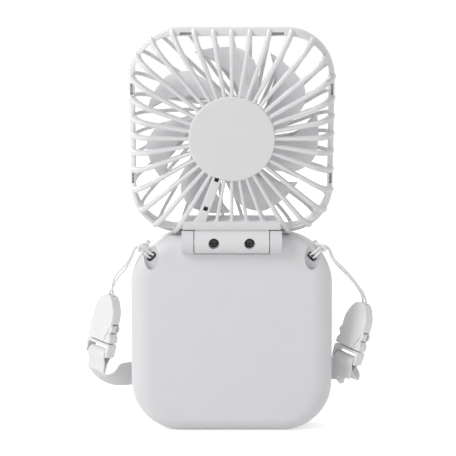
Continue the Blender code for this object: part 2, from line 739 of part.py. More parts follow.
def make_back_shell(white):
    """The half with the plain back face, the outer knuckles and the back of both tunnels."""
    shell = solid("body_back_shell", back_layers(0, BACK, PARTING), white)
    hollow = solid("back_hollow", [
        *back_layers(WALL, BACK + WALL, PARTING - LIP_HEIGHT - FIT_GAP, INNER_STEPS),
        outline_ring(BODY_OUTLINE, WALL - LIP_THICKNESS - FIT_GAP, WALL - LIP_THICKNESS - FIT_GAP,
                     PARTING - LIP_HEIGHT - FIT_GAP),
        outline_ring(BODY_OUTLINE, WALL - LIP_THICKNESS - FIT_GAP, WALL - LIP_THICKNESS - FIT_GAP,
                     PARTING + OVERRUN),
    ])
    cut(hollow, rod("well_wall", WELL_RADIUS + WELL_WALL, -BARREL_HALF - WELL_WALL, BARREL_HALF + WELL_WALL,
                    (0, AXIS_Y, AXIS_Z), axis="X", segments=ROUND_SEGMENTS))
    tunnel_end = PARTING - LIP_HEIGHT - 2 * FIT_GAP
    for side, label in ((-1, "left"), (1, "right")):
        cut(hollow, *tunnel_walls(label + "_back", side, BACK, 1, tunnel_end))
        cut(hollow, cradle(label + "_back_cradle", side, BACK, CELL_OFFSET - CRADLE_OPENING))
    cut(shell, hollow)
    fuse(shell, rod("barrel", BARREL_RADIUS, -BARREL_HALF, BARREL_HALF, (0, AXIS_Y, AXIS_Z),
                    axis="X", segments=BARREL_SEGMENTS))
    well_half = CENTRE_KNUCKLE_HALF + FIT_GAP
    cut(shell, rod("well", WELL_RADIUS, -well_half, well_half, (0, AXIS_Y, AXIS_Z),
                   axis="X", segments=ROUND_SEGMENTS))
    for side, label in ((-1, "left"), (1, "right")):
        ends = sorted((side * (well_half - WALL), side * (BARREL_HALF - PIN_END_WALL)))
        cut(shell, rod(label + "_pin_bore", PIN_BORE, *ends, at=(0, AXIS_Y, AXIS_Z), axis="X"))
    for side, label in ((-1, "left"), (1, "right")):
        cut(shell, *tunnel_cutters(label + "_back", side, BACK, 1))
    return shell


def board_posts():
    """The places of the two board screws, in x and z."""
    x = BOARD_WIDTH / 2 - BOSS_INSET
    return [(-x, BOARD_HIGH - BOSS_INSET), (x, BOARD_HIGH - BOSS_INSET)]


def port_outline(grow):
    """The USB-C socket's outline, grown all round, in x and y, as rings drawn along z."""
    centre = (0, BOARD_BACK - FIT_GAP - PORT_THICKNESS / 2)
    return stadium(centre, (1, 0), PORT_WIDTH + 2 * grow, PORT_THICKNESS + 2 * grow)


def make_front_shell(white):
    """The half with the button: its lip enters the back shell."""
    rings = front_layers(0, FRONT, PARTING + FIT_GAP)
    inset = WALL - LIP_THICKNESS
    rings.append(outline_ring(BODY_OUTLINE, inset, inset, PARTING + FIT_GAP))
    rings.append(outline_ring(BODY_OUTLINE, inset, inset, PARTING - LIP_HEIGHT))
    shell = solid("body_front_shell", rings, white)
    hollow = solid("front_hollow", front_layers(WALL, FRONT - WALL, PARTING - OVERRUN, INNER_STEPS))
    for side, label in ((-1, "left"), (1, "right")):
        cut(hollow, *tunnel_walls(label + "_front", side, FRONT, -1, PARTING - LIP_HEIGHT))
        cut(hollow, cradle(label + "_front_cradle", side, CELL_OFFSET + CRADLE_OPENING, FRONT))
    for i, (x, z) in enumerate(board_posts()):
        cut(hollow, rod(f"boss_{i}", BOSS_RADIUS, BOARD_FRONT + FIT_GAP, FRONT, (x, 0, z)))
    cut(shell, hollow)
    for side, label in ((-1, "left"), (1, "right")):
        cut(shell, *tunnel_cutters(label + "_front", side, FRONT, -1))
    for i, (x, z) in enumerate(board_posts()):
        depth = BOARD_SCREW_LENGTH - BOARD_THICKNESS + FIT_GAP
        cut(shell, rod(f"boss_hole_{i}", BOARD_SCREW_RADIUS + FIT_GAP, BOARD_FRONT - OVERRUN,
                       BOARD_FRONT + depth, (x, 0, z), segments=TINY_SEGMENTS))
    cut(shell, rod("button_hole", BUTTON_RADIUS + FIT_GAP, FRONT - WALL - OVERRUN, FRONT + OVERRUN,
                   (0, 0, BUTTON_HEIGHT_ON_BODY), segments=ROUND_SEGMENTS))
    cut(shell, slab("lens_hole", lens_outline(FIT_GAP), FRONT - WALL - OVERRUN, FRONT + OVERRUN))
    cut(shell, upright("port_hole", port_outline(FIT_GAP), -OVERRUN, WALL + OVERRUN))
    return shell


def lens_outline(grow):
    return stadium((0, LENS_HEIGHT_ON_BODY), (1, 0), 2 * (LENS_HALF_WIDTH + grow), 2 * (LENS_HALF_HEIGHT + grow))


def make_board(green, dark, steel):
    outline = rounded_outline((BOARD_WIDTH / 2, BOARD_LOW, BOARD_HIGH, BOARD_CORNER))
    board = slab("circuit_board", outline, BOARD_BACK, BOARD_FRONT, green)
    for i, (x, z) in enumerate(board_posts()):
        cut(board, rod(f"board_hole_{i}", BOARD_SCREW_RADIUS + FIT_GAP, BOARD_BACK - OVERRUN,
                       BOARD_FRONT + OVERRUN, (x, 0, z), segments=TINY_SEGMENTS))
        under = BOARD_BACK - BOARD_SCREW_CLEARANCE
        profile = [
            (BOARD_SCREW_HEAD_RADIUS, under - BOARD_SCREW_HEAD_HEIGHT), (BOARD_SCREW_HEAD_RADIUS, under),
            (BOARD_SCREW_RADIUS, under), (BOARD_SCREW_RADIUS, under + BOARD_SCREW_LENGTH),
        ]
        turned(f"board_screw_{i + 1}", profile, (x, 0, z), steel, segments=TINY_SEGMENTS)
    make_port(steel)
    make_chips(dark)
    make_switch(dark)


def make_port(metal):
    low, high = PORT_MOUTH_RECESS, PORT_MOUTH_RECESS + PORT_LENGTH
    port = upright("usb_c_port", port_outline(0), low, high, metal)
    cut(port, upright("port_mouth", port_outline(-PORT_WALL), low - OVERRUN, high - PORT_TONGUE_RECESS))
    y = BOARD_BACK - FIT_GAP - PORT_THICKNESS / 2
    half_width, half_thickness = PORT_TONGUE_WIDTH / 2, PORT_TONGUE_THICKNESS / 2
    fuse(port, block("port_tongue", (-half_width, y - half_thickness, low + PORT_TONGUE_RECESS),
                     (half_width, y + half_thickness, high - PORT_TONGUE_RECESS / 2)))


def flat_box(name, size, place, low, high):
    half = size / 2
    return block(name, (place[0] - half, low, place[1] - half), (place[0] + half, high, place[1] + half))


def height_on_board(share):
    return BOARD_LOW + share * (BOARD_HIGH - BOARD_LOW)


def make_chips(black):
    """The charging chip and inductor on the board's back, and the lights on its front."""
    back = BOARD_BACK - FIT_GAP
    front = BOARD_FRONT + FIT_GAP
    chip_place = (CHIP_SIDE, height_on_board(CHIP_HEIGHT_SHARE))
    chip = flat_box("charge_chip", CHIP_SIZE, chip_place, back - CHIP_HEIGHT, back)
    chip.data.materials.append(black)
    inductor_place = (INDUCTOR_SIDE, height_on_board(INDUCTOR_HEIGHT_SHARE))
    inductor = flat_box("inductor", INDUCTOR_SIZE, inductor_place, back - INDUCTOR_HEIGHT, back)
    inductor.data.materials.append(black)
    half_width, half_height = LENS_HALF_WIDTH, LIGHT_SIZE / 2
    block("light_bar", (-half_width, front, LENS_HEIGHT_ON_BODY - half_height),
          (half_width, front + LIGHT_HEIGHT, LENS_HEIGHT_ON_BODY + half_height), black)


def make_switch(dark):
    low = BOARD_FRONT + FIT_GAP
    switch = flat_box("push_switch", SWITCH_SIZE, (0, BUTTON_HEIGHT_ON_BODY), low, low + SWITCH_HEIGHT)
    switch.data.materials.append(dark)
    fuse(switch, rod("plunger", PLUNGER_RADIUS, low + SWITCH_HEIGHT / 2, low + SWITCH_HEIGHT + PLUNGER_HEIGHT,
                     (0, 0, BUTTON_HEIGHT_ON_BODY)))


def make_button_and_lens(white, clear):
    plunger_end = BOARD_FRONT + FIT_GAP + SWITCH_HEIGHT + PLUNGER_HEIGHT
    stem_end = plunger_end + BUTTON_TRAVEL + FIT_GAP / 3
    flange_top = FRONT - WALL - FIT_GAP
    flange_low = flange_top - BUTTON_FLANGE_THICKNESS
    flange_radius = BUTTON_RADIUS + BUTTON_FLANGE
    dish = BUTTON_RADIUS - BUTTON_PROUD
    profile = [
        (BUTTON_STEM_RADIUS, stem_end), (BUTTON_STEM_RADIUS, flange_low), (flange_radius, flange_low),
        (flange_radius, flange_top), (BUTTON_RADIUS, flange_top), (BUTTON_RADIUS, FRONT),
        (dish, FRONT + BUTTON_PROUD),
    ]
    turned("power_button", profile, (0, 0, BUTTON_HEIGHT_ON_BODY), white)
    lens = slab("indicator_lens", lens_outline(0), flange_top - LENS_FLANGE_THICKNESS / 2, FRONT - LENS_RECESS, clear)
    fuse(lens, slab("lens_flange", lens_outline(LENS_FLANGE), flange_top - LENS_FLANGE_THICKNESS, flange_top))


def make_battery(blue, red):
    half = CELL_LENGTH / 2
    profile = [(CELL_RADIUS, -half), (CELL_RADIUS, half), (CELL_NUB_RADIUS, half),
               (CELL_NUB_RADIUS, half + CELL_NUB_LENGTH)]
    turned("battery_cell", profile, (0, CELL_OFFSET, CELL_HEIGHT), blue, axis="X")
    route = [(half + x, y, CELL_HEIGHT + z) for x, y, z in CELL_LEAD_START_ROUTE]
    route += [(BOARD_WIDTH / 2 + x, y, BOARD_HIGH + z) for x, y, z in CELL_LEAD_END_ROUTE]
    cord("battery_lead_plus", route, BODY_LEAD_RADIUS, red)
    cord("battery_lead_minus", [(-x, y, z) for x, y, z in route], BODY_LEAD_RADIUS, red)


def make_body_leads(dark):
    route = [(x, y, BOARD_HIGH + z) for x, y, z in BODY_LEAD_START_ROUTE]
    route += [(x, y, AXIS_Z + z) for x, y, z in BODY_LEAD_END_ROUTE]
    for side, label in ((-1, "left"), (1, "right")):
        shift = side * BODY_LEAD_SPACING / 2
        cord(f"hinge_lead_{label}", [(x + shift, y, z) for x, y, z in route], BODY_LEAD_RADIUS, dark)


def rib_path(angle, drop):
    """(distance from the hub's middle, depth below the back plane) along one side of a rib."""
    direction = (math.cos(angle), math.sin(angle))
    if is_bracket_rib(angle):
        path = [((BRACKET_TOP - RIB_FOOT_IN_BRACKET - HUB_HEIGHT) / direction[1], drop)]
    else:
        path = []
        for i in range(RIB_STEPS + 1):
            a = math.radians(90 - 90 * i / RIB_STEPS)
            inset = drop - RIB_PROUD + (RIB_FILLET + RIB_PROUD - drop) * (1 - math.sin(a))
            below = drop + (RIM_PLANE - 2 * RIB_SETBACK - drop) * (1 - math.cos(a))
            path.append((reach((0, HUB_HEIGHT), direction, inset, HEAD_OUTLINE), below))
    path.append((HUB_RADIUS - RIB_ROOT, drop))
    return path


def rib_rings(angle, width, foot_width, depth):
    """Rings of a rib's section, rounded towards the back, from the rim or bracket to the hub."""
    direction = (math.cos(angle), math.sin(angle))
    outer = rib_path(angle, 0)
    inner = rib_path(angle, depth)
    count = len(outer)
    rings = []
    for i, ((s1, d1), (s2, d2)) in enumerate(zip(outer, inner, strict=True)):
        half = (foot_width if i < count / 2 else width) / 2
        crest = half * RIB_CREST_SHARE
        section = [(s2, d2, -half), (s1, d1, -crest), (s1, d1, crest), (s2, d2, half)]
        rings.append([
            (direction[0] * s - direction[1] * w, HEAD_BACK + RIB_SETBACK + d,
             HUB_HEIGHT + direction[1] * s + direction[0] * w)
            for s, d, w in section
        ])
    return rings


def is_bracket_rib(angle):
    """Whether a rib runs into the hinge bracket instead of the rim."""
    direction = (math.cos(angle), math.sin(angle))
    end = reach((0, HUB_HEIGHT), direction, 0, HEAD_OUTLINE)
    return direction[1] < 0 and abs(direction[0] * end) < BRACKET_HALF + RIB_FOOT_WIDTH / 2


def make_ribs(parent):
    """All ribs as one tool, a narrow one every ten degrees and a wide one over the wires."""
    ribs = []
    for i in range(RIB_COUNT):
        degrees = 360 * i / RIB_COUNT
        angle = math.radians(degrees)
        if abs(degrees - CHANNEL_RIB_DEGREES) < 180 / RIB_COUNT:
            rings = rib_rings(angle, CHANNEL_RIB_WIDTH, CHANNEL_RIB_WIDTH, CHANNEL_RIB_DEPTH)
        else:
            rings = rib_rings(angle, RIB_WIDTH, RIB_FOOT_WIDTH, RIB_DEPTH)
        ribs.append(solid(f"rib_{i}", rings))
    return joined("ribs", ribs, None, parent)


def make_rim(white, parent):
    """The rounded rim that the ribs stand on."""
    top = RIM_PLANE - RIM_HEIGHT
    profile = [(RIM_WIDTH, RIM_PLANE), (0, RIM_PLANE)]
    for i in range(1, FILLET_STEPS + 1):
        a = math.radians(90 * i / FILLET_STEPS)
        profile.append((RIM_WIDTH * (1 - math.cos(a)), RIM_PLANE - RIM_HEIGHT * math.sin(a)))
    profile[-1] = (RIM_WIDTH, top)
    rings = [outline_ring(HEAD_OUTLINE, inset, inset, HEAD_BACK + below) for inset, below in profile]
    return solid("head_back_grille", rings, white, closed=True, parent=parent)


def half_barrel(name, side, grow, half_length, finish, parent):
    """Half of the centre knuckle: side is -1 for the cover and 1 for the inner half."""
    gap = FIT_GAP / 2
    radius = BARREL_RADIUS + grow
    start = math.asin(gap / radius)
    outline = []
    for i in range(ROUND_SEGMENTS // 2 + 1):
        a = start + (math.pi - 2 * start) * i / (ROUND_SEGMENTS // 2)
        outline.append((side * radius * math.sin(a), radius * math.cos(a)))
    rings = [[(x, y, z) for y, z in outline] for x in (-half_length, half_length)]
    return solid(name, rings, finish, parent=parent)


def along_channel(name, start, stop, width, low, high, finish=None, parent=None):
    """A bar along the wire channel, from one distance from the hub's middle to another."""
    angle = math.radians(CHANNEL_RIB_DEGREES)
    direction = (math.cos(angle), math.sin(angle))
    half = width / 2
    corners = ((start, -half), (stop, -half), (stop, half), (start, half))
    outline = [(direction[0] * s - direction[1] * w, HUB_HEIGHT + direction[1] * s + direction[0] * w)
               for s, w in corners]
    return slab(name, outline, low, high, finish, parent)


def channel_length(height):
    return (height - HUB_HEIGHT) / math.sin(math.radians(CHANNEL_RIB_DEGREES))


def latch_bars(label, shrink, low, high, parent):
    """A bar in each of the rim's six latch slots, or as each slot's cutter."""
    half_width, _, top, _ = HEAD_OUTLINE
    long, thin = LATCH_LENGTH / 2 - shrink, LATCH_THICKNESS / 2 - shrink
    places = [(sign * LATCH_OFFSET, top - LATCH_INSET, long, thin) for sign in (-1, 1)]
    for sign in (-1, 1):
        for offset in (-LATCH_OFFSET, LATCH_OFFSET):
            places.append((sign * (half_width - LATCH_INSET), HUB_HEIGHT + offset, thin, long))
    return [
        block(f"{label}_{i}", (x - half_x, low, z - half_z), (x + half_x, high, z + half_z), parent=parent)
        for i, (x, z, half_x, half_z) in enumerate(places)
    ]


def make_back_grille(white, parent):
    """Rim, ribs, hub disc, hinge bracket and the inner half of the centre knuckle."""
    grille = make_rim(white, parent)
    hub = [(HUB_RADIUS - HUB_EDGE, HEAD_BACK), (HUB_RADIUS, HEAD_BACK + HUB_EDGE),
           (HUB_RADIUS, HEAD_BACK + HUB_THICKNESS)]
    fuse(grille, turned("hub_disc", hub, (0, 0, HUB_HEIGHT), parent=parent, segments=2 * ROUND_SEGMENTS))
    fuse(grille, make_ribs(parent))
    bracket = block("bracket", (-BRACKET_HALF, HEAD_BACK + BRACKET_SETBACK, BRACKET_LOW),
                    (BRACKET_HALF, HEAD_BACK + BRACKET_DEPTH, BRACKET_TOP), parent=parent)
    cut(bracket, rod("bracket_hollow", WELL_RADIUS, -BARREL_HALF - OVERRUN, BARREL_HALF + OVERRUN,
                     axis="X", segments=ROUND_SEGMENTS, parent=parent))
    fuse(grille, bracket)
    fuse(grille, half_barrel("inner_knuckle", 1, 0, CENTRE_KNUCKLE_HALF, None, parent))
    fuse(grille, knuckle_neck(parent))
    cut_knuckle(grille, parent)
    end = channel_length(CHANNEL_END_HEIGHT)
    cut(grille, along_channel("channel", HUB_RADIUS - HUB_EDGE, end, CHANNEL_WIDTH,
                              HEAD_BACK + RIB_SETBACK + CHANNEL_SKIN, HEAD_BACK + HUB_THICKNESS + OVERRUN,
                              parent=parent))
    for i, middle in enumerate(WINDOW_DISTANCES):
        cut(grille, along_channel(f"window_{i}", middle - WINDOW_SIZE / 2, middle + WINDOW_SIZE / 2, WINDOW_SIZE,
                                  HEAD_BACK - OVERRUN, HEAD_BACK + RIB_SETBACK + CHANNEL_SKIN * 2, parent=parent))
    cut(grille, *latch_bars("latch_slot", 0, HEAD_BACK, HEAD_BACK + RIM_PLANE + OVERRUN, parent))
    for i, (x, z) in enumerate(motor_screw_places()):
        cut(grille, rod(f"motor_screw_hole_{i}", MOTOR_SCREW_RADIUS + FIT_GAP,
                        MOTOR_BASE + MOTOR_PLATE_THICKNESS + FIT_GAP - MOTOR_SCREW_LENGTH - FIT_GAP,
                        MOTOR_BASE + OVERRUN, (x, 0, z), segments=TINY_SEGMENTS, parent=parent))
    return grille


def knuckle_neck(parent):
    """What joins the inner knuckle to the bracket."""
    return block("knuckle_neck", (-CENTRE_KNUCKLE_HALF, HEAD_BACK + 2 * BRACKET_SETBACK, BRACKET_LOW),
                 (CENTRE_KNUCKLE_HALF, WELL_RADIUS + BRACKET_LOW, BRACKET_TOP - BRACKET_LOW), parent=parent)


def cut_knuckle(target, parent):
    """Seats for the sleeves and holes for the hinge screws, in either half of the knuckle."""
    seat_start = PIN_START - FIT_GAP
    for side, label in ((-1, "left"), (1, "right")):
        ends = sorted((side * seat_start, side * (CENTRE_KNUCKLE_HALF + OVERRUN)))
        cut(target, rod(f"{label}_seat_{target.name}", SLEEVE_SEAT, *ends, axis="X", parent=parent))
        x = side * HINGE_SCREW_SPACING / 2
        cut(target, rod(f"{label}_screw_hole_{target.name}", SCREW_SHANK_RADIUS + FIT_GAP,
                        -BARREL_RADIUS - OVERRUN, screw_tip() + FIT_GAP, (x, 0, HINGE_SCREW_LIFT),
                        segments=SMALL_SEGMENTS, parent=parent))


def screw_tip():
    floor = -BARREL_RADIUS + SCREW_RECESS_DEPTH
    return floor - FIT_GAP + HINGE_SCREW_LENGTH


def make_hinge(white, black, steel, grey, parent):
    """The cover with its two screws, the pins and their friction sleeves."""
    cover = half_barrel("hinge_cover", -1, 0, CENTRE_KNUCKLE_HALF, white, parent)
    cut_knuckle(cover, parent)
    floor = -BARREL_RADIUS + SCREW_RECESS_DEPTH
    for side, label in ((-1, "left"), (1, "right")):
        x = side * HINGE_SCREW_SPACING / 2
        cut(cover, rod(f"{label}_recess", SCREW_HEAD_RADIUS + FIT_GAP, -BARREL_RADIUS - OVERRUN, floor,
                       (x, 0, HINGE_SCREW_LIFT), parent=parent, segments=ROUND_SEGMENTS))
        make_hinge_screw(f"hinge_screw_{label}", x, floor - FIT_GAP, black, parent)
        ends = sorted((side * PIN_START, side * (CENTRE_KNUCKLE_HALF - FIT_GAP)))
        bush(f"hinge_sleeve_{label}", PIN_BORE, SLEEVE_RADIUS, *ends, finish=grey, axis="X", parent=parent)
        ends = sorted((side * PIN_START, side * (BARREL_HALF - PIN_END_WALL - FIT_GAP)))
        rod(f"hinge_pin_{label}", PIN_RADIUS, *ends, at=(0, AXIS_Y, AXIS_Z), finish=steel, axis="X")


def make_hinge_screw(name, x, under_head, black, parent):
    top = under_head - SCREW_HEAD_HEIGHT
    edge = SCREW_HEAD_RADIUS - SCREW_HEAD_HEIGHT / 3
    profile = [(edge, top), (SCREW_HEAD_RADIUS, top + SCREW_HEAD_HEIGHT / 2), (SCREW_HEAD_RADIUS, under_head),
               (SCREW_SHANK_RADIUS, under_head), (SCREW_SHANK_RADIUS, under_head + HINGE_SCREW_LENGTH)]
    screw = turned(name, profile, (x, 0, HINGE_SCREW_LIFT), black, segments=SMALL_SEGMENTS, parent=parent)
    arm, half = SCREW_HEAD_RADIUS * CROSS_SLOT_SHARE, CROSS_SLOT_WIDTH / 2
    for label, half_x, half_z in (("flat", arm, half), ("tall", half, arm)):
        cut(screw, block(f"{name}_{label}_slot", (x - half_x, top - OVERRUN, HINGE_SCREW_LIFT - half_z),
                         (x + half_x, top + CROSS_SLOT_DEPTH, HINGE_SCREW_LIFT + half_z), parent=parent))


def make_channel(white, red, parent):
    """The cover of the wire channel and the two leads inside it."""
    skin = HEAD_BACK + RIB_SETBACK + CHANNEL_SKIN
    high = HEAD_BACK + RIB_SETBACK + CHANNEL_RIB_DEPTH
    start, stop = HUB_RADIUS + FIT_GAP, channel_length(BRACKET_TOP + FIT_GAP)
    along_channel("wire_channel_cover", start, stop, CHANNEL_WIDTH - 2 * FIT_GAP,
                  high - CHANNEL_COVER_THICKNESS, high, white, parent)
    y = skin + FIT_GAP + MOTOR_LEAD_RADIUS
    angle = math.radians(CHANNEL_RIB_DEGREES)
    direction = (math.cos(angle), math.sin(angle))
    for side, label in ((-1, "left"), (1, "right")):
        w = side * MOTOR_LEAD_SPACING / 2
        route = [
            (direction[0] * s - direction[1] * w, y, HUB_HEIGHT + direction[1] * s + direction[0] * w)
            for s in (HUB_RADIUS - HUB_EDGE + FIT_GAP, channel_length(BRACKET_TOP),
                      channel_length(CHANNEL_END_HEIGHT) - FIT_GAP)
        ]
        cord(f"motor_lead_{label}", route, MOTOR_LEAD_RADIUS, red, parent)


def make_front_grille(white, parent):
    """Side wall, slanted ribs and the plain front hub."""
    face = HEAD_BACK + HEAD_DEPTH
    parting = HEAD_BACK + RIM_PLANE + FIT_GAP
    wall_end = face - GRILLE_FILLET_DEPTH
    profile = [(0, parting), (0, wall_end - GRILLE_EDGE), (GRILLE_EDGE, wall_end), (WALL, wall_end), (WALL, parting)]
    rings = [outline_ring(HEAD_OUTLINE, inset, inset, y) for inset, y in profile]
    grille = solid("head_front_grille", rings, white, closed=True, parent=parent)
    hub_face = face - GRILLE_HUB_RECESS
    hub = [(GRILLE_HUB_RADIUS, hub_face - GRILLE_HUB_THICKNESS), (GRILLE_HUB_RADIUS, hub_face - HUB_EDGE),
           (GRILLE_HUB_RADIUS - HUB_EDGE, hub_face)]
    fuse(grille, turned("front_hub", hub, (0, 0, HUB_HEIGHT), parent=parent))
    slants = [slanted_rib(i, face) for i in range(SLANT_COUNT)]
    fuse(grille, joined("slanted_ribs", slants, None, parent))
    fuse(grille, *latch_bars("latch_tab", FIT_GAP, parting - TAB_HEIGHT, parting + TAB_ROOT, parent))
    return grille


def slanted_path(base, direction, drop):
    """(distance along a slanted rib, depth behind the front face) along one side of it."""
    start = math.sqrt(GRILLE_HUB_RADIUS**2 - SLANT_OFFSET**2) - SLANT_WIDTH / 2
    edge = SLANT_INSET + drop
    path = [(reach(base, direction, edge, HEAD_OUTLINE), GRILLE_FILLET_DEPTH + SLANT_FOOT)]
    for i in range(SLANT_STEPS + 1):
        a = math.radians(90 - 90 * i / SLANT_STEPS)
        inset = edge + (GRILLE_FILLET - edge) * (1 - math.sin(a))
        below = drop + (GRILLE_FILLET_DEPTH - drop) * (1 - math.cos(a))
        path.append((reach(base, direction, inset, HEAD_OUTLINE), below))
    path.append((start, drop))
    return path


def slanted_rib(index, face):
    """A bar that passes beside the hub's middle, and bends over the edge down to the wall."""
    angle = math.tau * index / SLANT_COUNT + math.pi / 2
    direction = (math.cos(angle), math.sin(angle))
    across = (direction[1], -direction[0])
    base = (across[0] * SLANT_OFFSET, HUB_HEIGHT + across[1] * SLANT_OFFSET)
    half = SLANT_WIDTH / 2
    rings = []
    for near, far in zip(slanted_path(base, direction, 0), slanted_path(base, direction, SLANT_DEPTH), strict=True):
        rings.append([
            (base[0] + direction[0] * s + across[0] * w, face - d, base[1] + direction[1] * s + across[1] * w)
            for (s, d), w in ((near, -half), (near, half), (far, half), (far, -half))
        ])
    return solid(f"slant_{index}", rings)


def motor_screw_places():
    places = []
    for i in range(3):
        a = math.tau * i / 3 + math.radians(MOTOR_SCREW_FIRST_DEGREES)
        places.append((MOTOR_SCREW_CIRCLE * math.cos(a), HUB_HEIGHT + MOTOR_SCREW_CIRCLE * math.sin(a)))
    return places


def make_motor_base(white, steel, parent):
    """The plate with the bearing tube, its screws and the two bearings."""
    plate_top = MOTOR_BASE + MOTOR_PLATE_THICKNESS
    bore = BEARING_RADIUS + FIT_GAP
    profile = [
        (MOTOR_PLATE_RADIUS, MOTOR_BASE), (MOTOR_PLATE_RADIUS, plate_top), (MOTOR_TUBE_RADIUS, plate_top),
        (MOTOR_TUBE_RADIUS, plate_top + MOTOR_TUBE_LENGTH), (bore, plate_top + MOTOR_TUBE_LENGTH),
        (bore, MOTOR_BASE),
    ]
    base = turned("motor_base", profile, (0, 0, HUB_HEIGHT), white, closed=True, parent=parent)
    for i, (x, z) in enumerate(motor_screw_places()):
        cut(base, rod(f"base_hole_{i}", MOTOR_SCREW_RADIUS + FIT_GAP, MOTOR_BASE - OVERRUN,
                      plate_top + OVERRUN, (x, 0, z), segments=TINY_SEGMENTS, parent=parent))
        under = plate_top + FIT_GAP
        profile = [(MOTOR_SCREW_RADIUS, under - MOTOR_SCREW_LENGTH), (MOTOR_SCREW_RADIUS, under),
                   (MOTOR_SCREW_HEAD_RADIUS, under), (MOTOR_SCREW_HEAD_RADIUS, under + MOTOR_SCREW_HEAD_HEIGHT)]
        turned(f"motor_screw_{i + 1}", profile, (x, 0, z), steel, segments=TINY_SEGMENTS, parent=parent)
    for label, low in (("back", plate_top), ("front", plate_top + MOTOR_TUBE_LENGTH - BEARING_LENGTH)):
        bush(f"bearing_{label}", BEARING_BORE, BEARING_RADIUS, low, low + BEARING_LENGTH,
             (0, 0, HUB_HEIGHT), steel, parent=parent)


def tooth(name, angle, inner, outer, half, low, high, parent=None):
    """A straight bar from one radius to another about the hub's middle."""
    direction = (math.cos(angle), math.sin(angle))
    corners = ((inner, -half), (outer, -half), (outer, half), (inner, half))
    outline = [(direction[0] * s - direction[1] * w, HUB_HEIGHT + direction[1] * s + direction[0] * w)
               for s, w in corners]
    return slab(name, outline, low, high, parent=parent)


def make_stator(steel, copper, parent):
    low = MOTOR_BASE + STATOR_START
    high = low + STATOR_LENGTH
    core = bush("stator_core", MOTOR_TUBE_RADIUS + FIT_GAP, STATOR_CORE_RADIUS, low, high,
                (0, 0, HUB_HEIGHT), steel, segments=ROUND_SEGMENTS, parent=parent)
    teeth, coils = [], []
    root = (MOTOR_TUBE_RADIUS + STATOR_CORE_RADIUS) / 2
    half = STATOR_TOOTH_WIDTH / 2
    coil_start = STATOR_CORE_RADIUS + FIT_GAP
    for i in range(TOOTH_COUNT):
        angle = math.tau * i / TOOTH_COUNT
        teeth.append(tooth(f"tooth_{i}", angle, root, STATOR_RADIUS, half, low + FIT_GAP / 2, high - FIT_GAP / 2))
        rings = []
        direction = (math.cos(angle), math.sin(angle))
        for s, side in ((coil_start, COIL_SIDE), (coil_start, FIT_GAP), (coil_start + COIL_LENGTH, FIT_GAP),
                        (coil_start + COIL_LENGTH, COIL_SIDE)):
            wide = half + (side + FIT_GAP if side == COIL_SIDE else FIT_GAP)
            tall = (COIL_OVERHANG if side == COIL_SIDE else FIT_GAP)
            rings.append([
                (direction[0] * s - direction[1] * w, y, HUB_HEIGHT + direction[1] * s + direction[0] * w)
                for w, y in ((-wide, low - tall), (wide, low - tall), (wide, high + tall), (-wide, high + tall))
            ])
        coils.append(solid(f"coil_{i}", rings, closed=True))
    fuse(core, joined("stator_teeth", teeth, None, parent))
    winding = bush("stator_winding", coil_start + FIT_GAP, coil_start + COIL_SIDE * 2 + FIT_GAP,
                   low - COIL_OVERHANG - FIT_GAP, low - COIL_OVERHANG + FIT_GAP / 2,
                   (0, 0, HUB_HEIGHT), copper, segments=SMALL_SEGMENTS, parent=parent)
    fuse(winding, joined("coils", coils, None, parent))


def make_rotor(steel, dark, bright, parent):
    """The bell, its magnet ring and the shaft."""
    magnet_inner = STATOR_RADIUS + AIR_GAP
    magnet_outer = magnet_inner + MAGNET_THICKNESS
    bell_inner = magnet_outer + FIT_GAP
    bell_outer = bell_inner + BELL_WALL
    low = MOTOR_BASE + BELL_START
    high = low + BELL_LENGTH
    bore = SHAFT_RADIUS + FIT_GAP
    profile = [
        (bell_outer, low), (bell_outer, high - HUB_EDGE), (bell_outer - HUB_EDGE, high), (bore, high),
        (bore, high - BELL_WALL), (bell_inner, high - BELL_WALL), (bell_inner, low),
    ]
    turned("rotor_bell", profile, finish=steel, closed=True, parent=parent)
    magnet_low = MOTOR_BASE + STATOR_START
    bush("magnet_ring", magnet_inner, magnet_outer, magnet_low, magnet_low + STATOR_LENGTH,
         finish=dark, segments=ROUND_SEGMENTS, parent=parent)
    shaft_end = impeller_face() - IMPELLER_HUB_WALL / 2
    rod("motor_shaft", SHAFT_RADIUS, MOTOR_BASE + MOTOR_PLATE_THICKNESS, shaft_end,
        finish=bright, parent=parent)
    return bell_outer, high


def impeller_face():
    return MOTOR_BASE + IMPELLER_HUB_START + IMPELLER_HUB_LENGTH


def blade_rings(first_angle, root_radius, middle):
    """One blade as rings across its chord, thin, twisted, with one tip corner rounded off."""
    rings = []
    for column in range(BLADE_COLUMNS):
        c = column / (BLADE_COLUMNS - 1)
        rounding = max(0, 1 - c / BLADE_ROUND_SHARE)
        tip = BLADE_TIP_RADIUS - BLADE_TIP_ROUND * rounding**2
        back, front = [], []
        for row in range(BLADE_ROWS):
            v = row / (BLADE_ROWS - 1)
            radius = root_radius + (tip - root_radius) * v
            share = (radius - root_radius) / (BLADE_TIP_RADIUS - root_radius)
            arc = BLADE_ROOT_ARC_DEGREES + (BLADE_TIP_ARC_DEGREES - BLADE_ROOT_ARC_DEGREES) * share
            pitch = BLADE_ROOT_PITCH + (BLADE_TIP_PITCH - BLADE_ROOT_PITCH) * share
            angle = first_angle + math.radians((c - 0.5) * arc + (share - 1) * BLADE_SWEEP_DEGREES)
            camber = pitch * BLADE_CAMBER_SHARE * math.sin(math.pi * c)
            y = middle + (c - 0.5) * pitch - camber + pitch * BLADE_SHIFT_SHARE
            x, z = radius * math.cos(angle), radius * math.sin(angle)
            back.append((x, y - BLADE_THICKNESS / 2, z))
            front.append((x, y + BLADE_THICKNESS / 2, z))
        rings.append(back + front[::-1])
    return rings


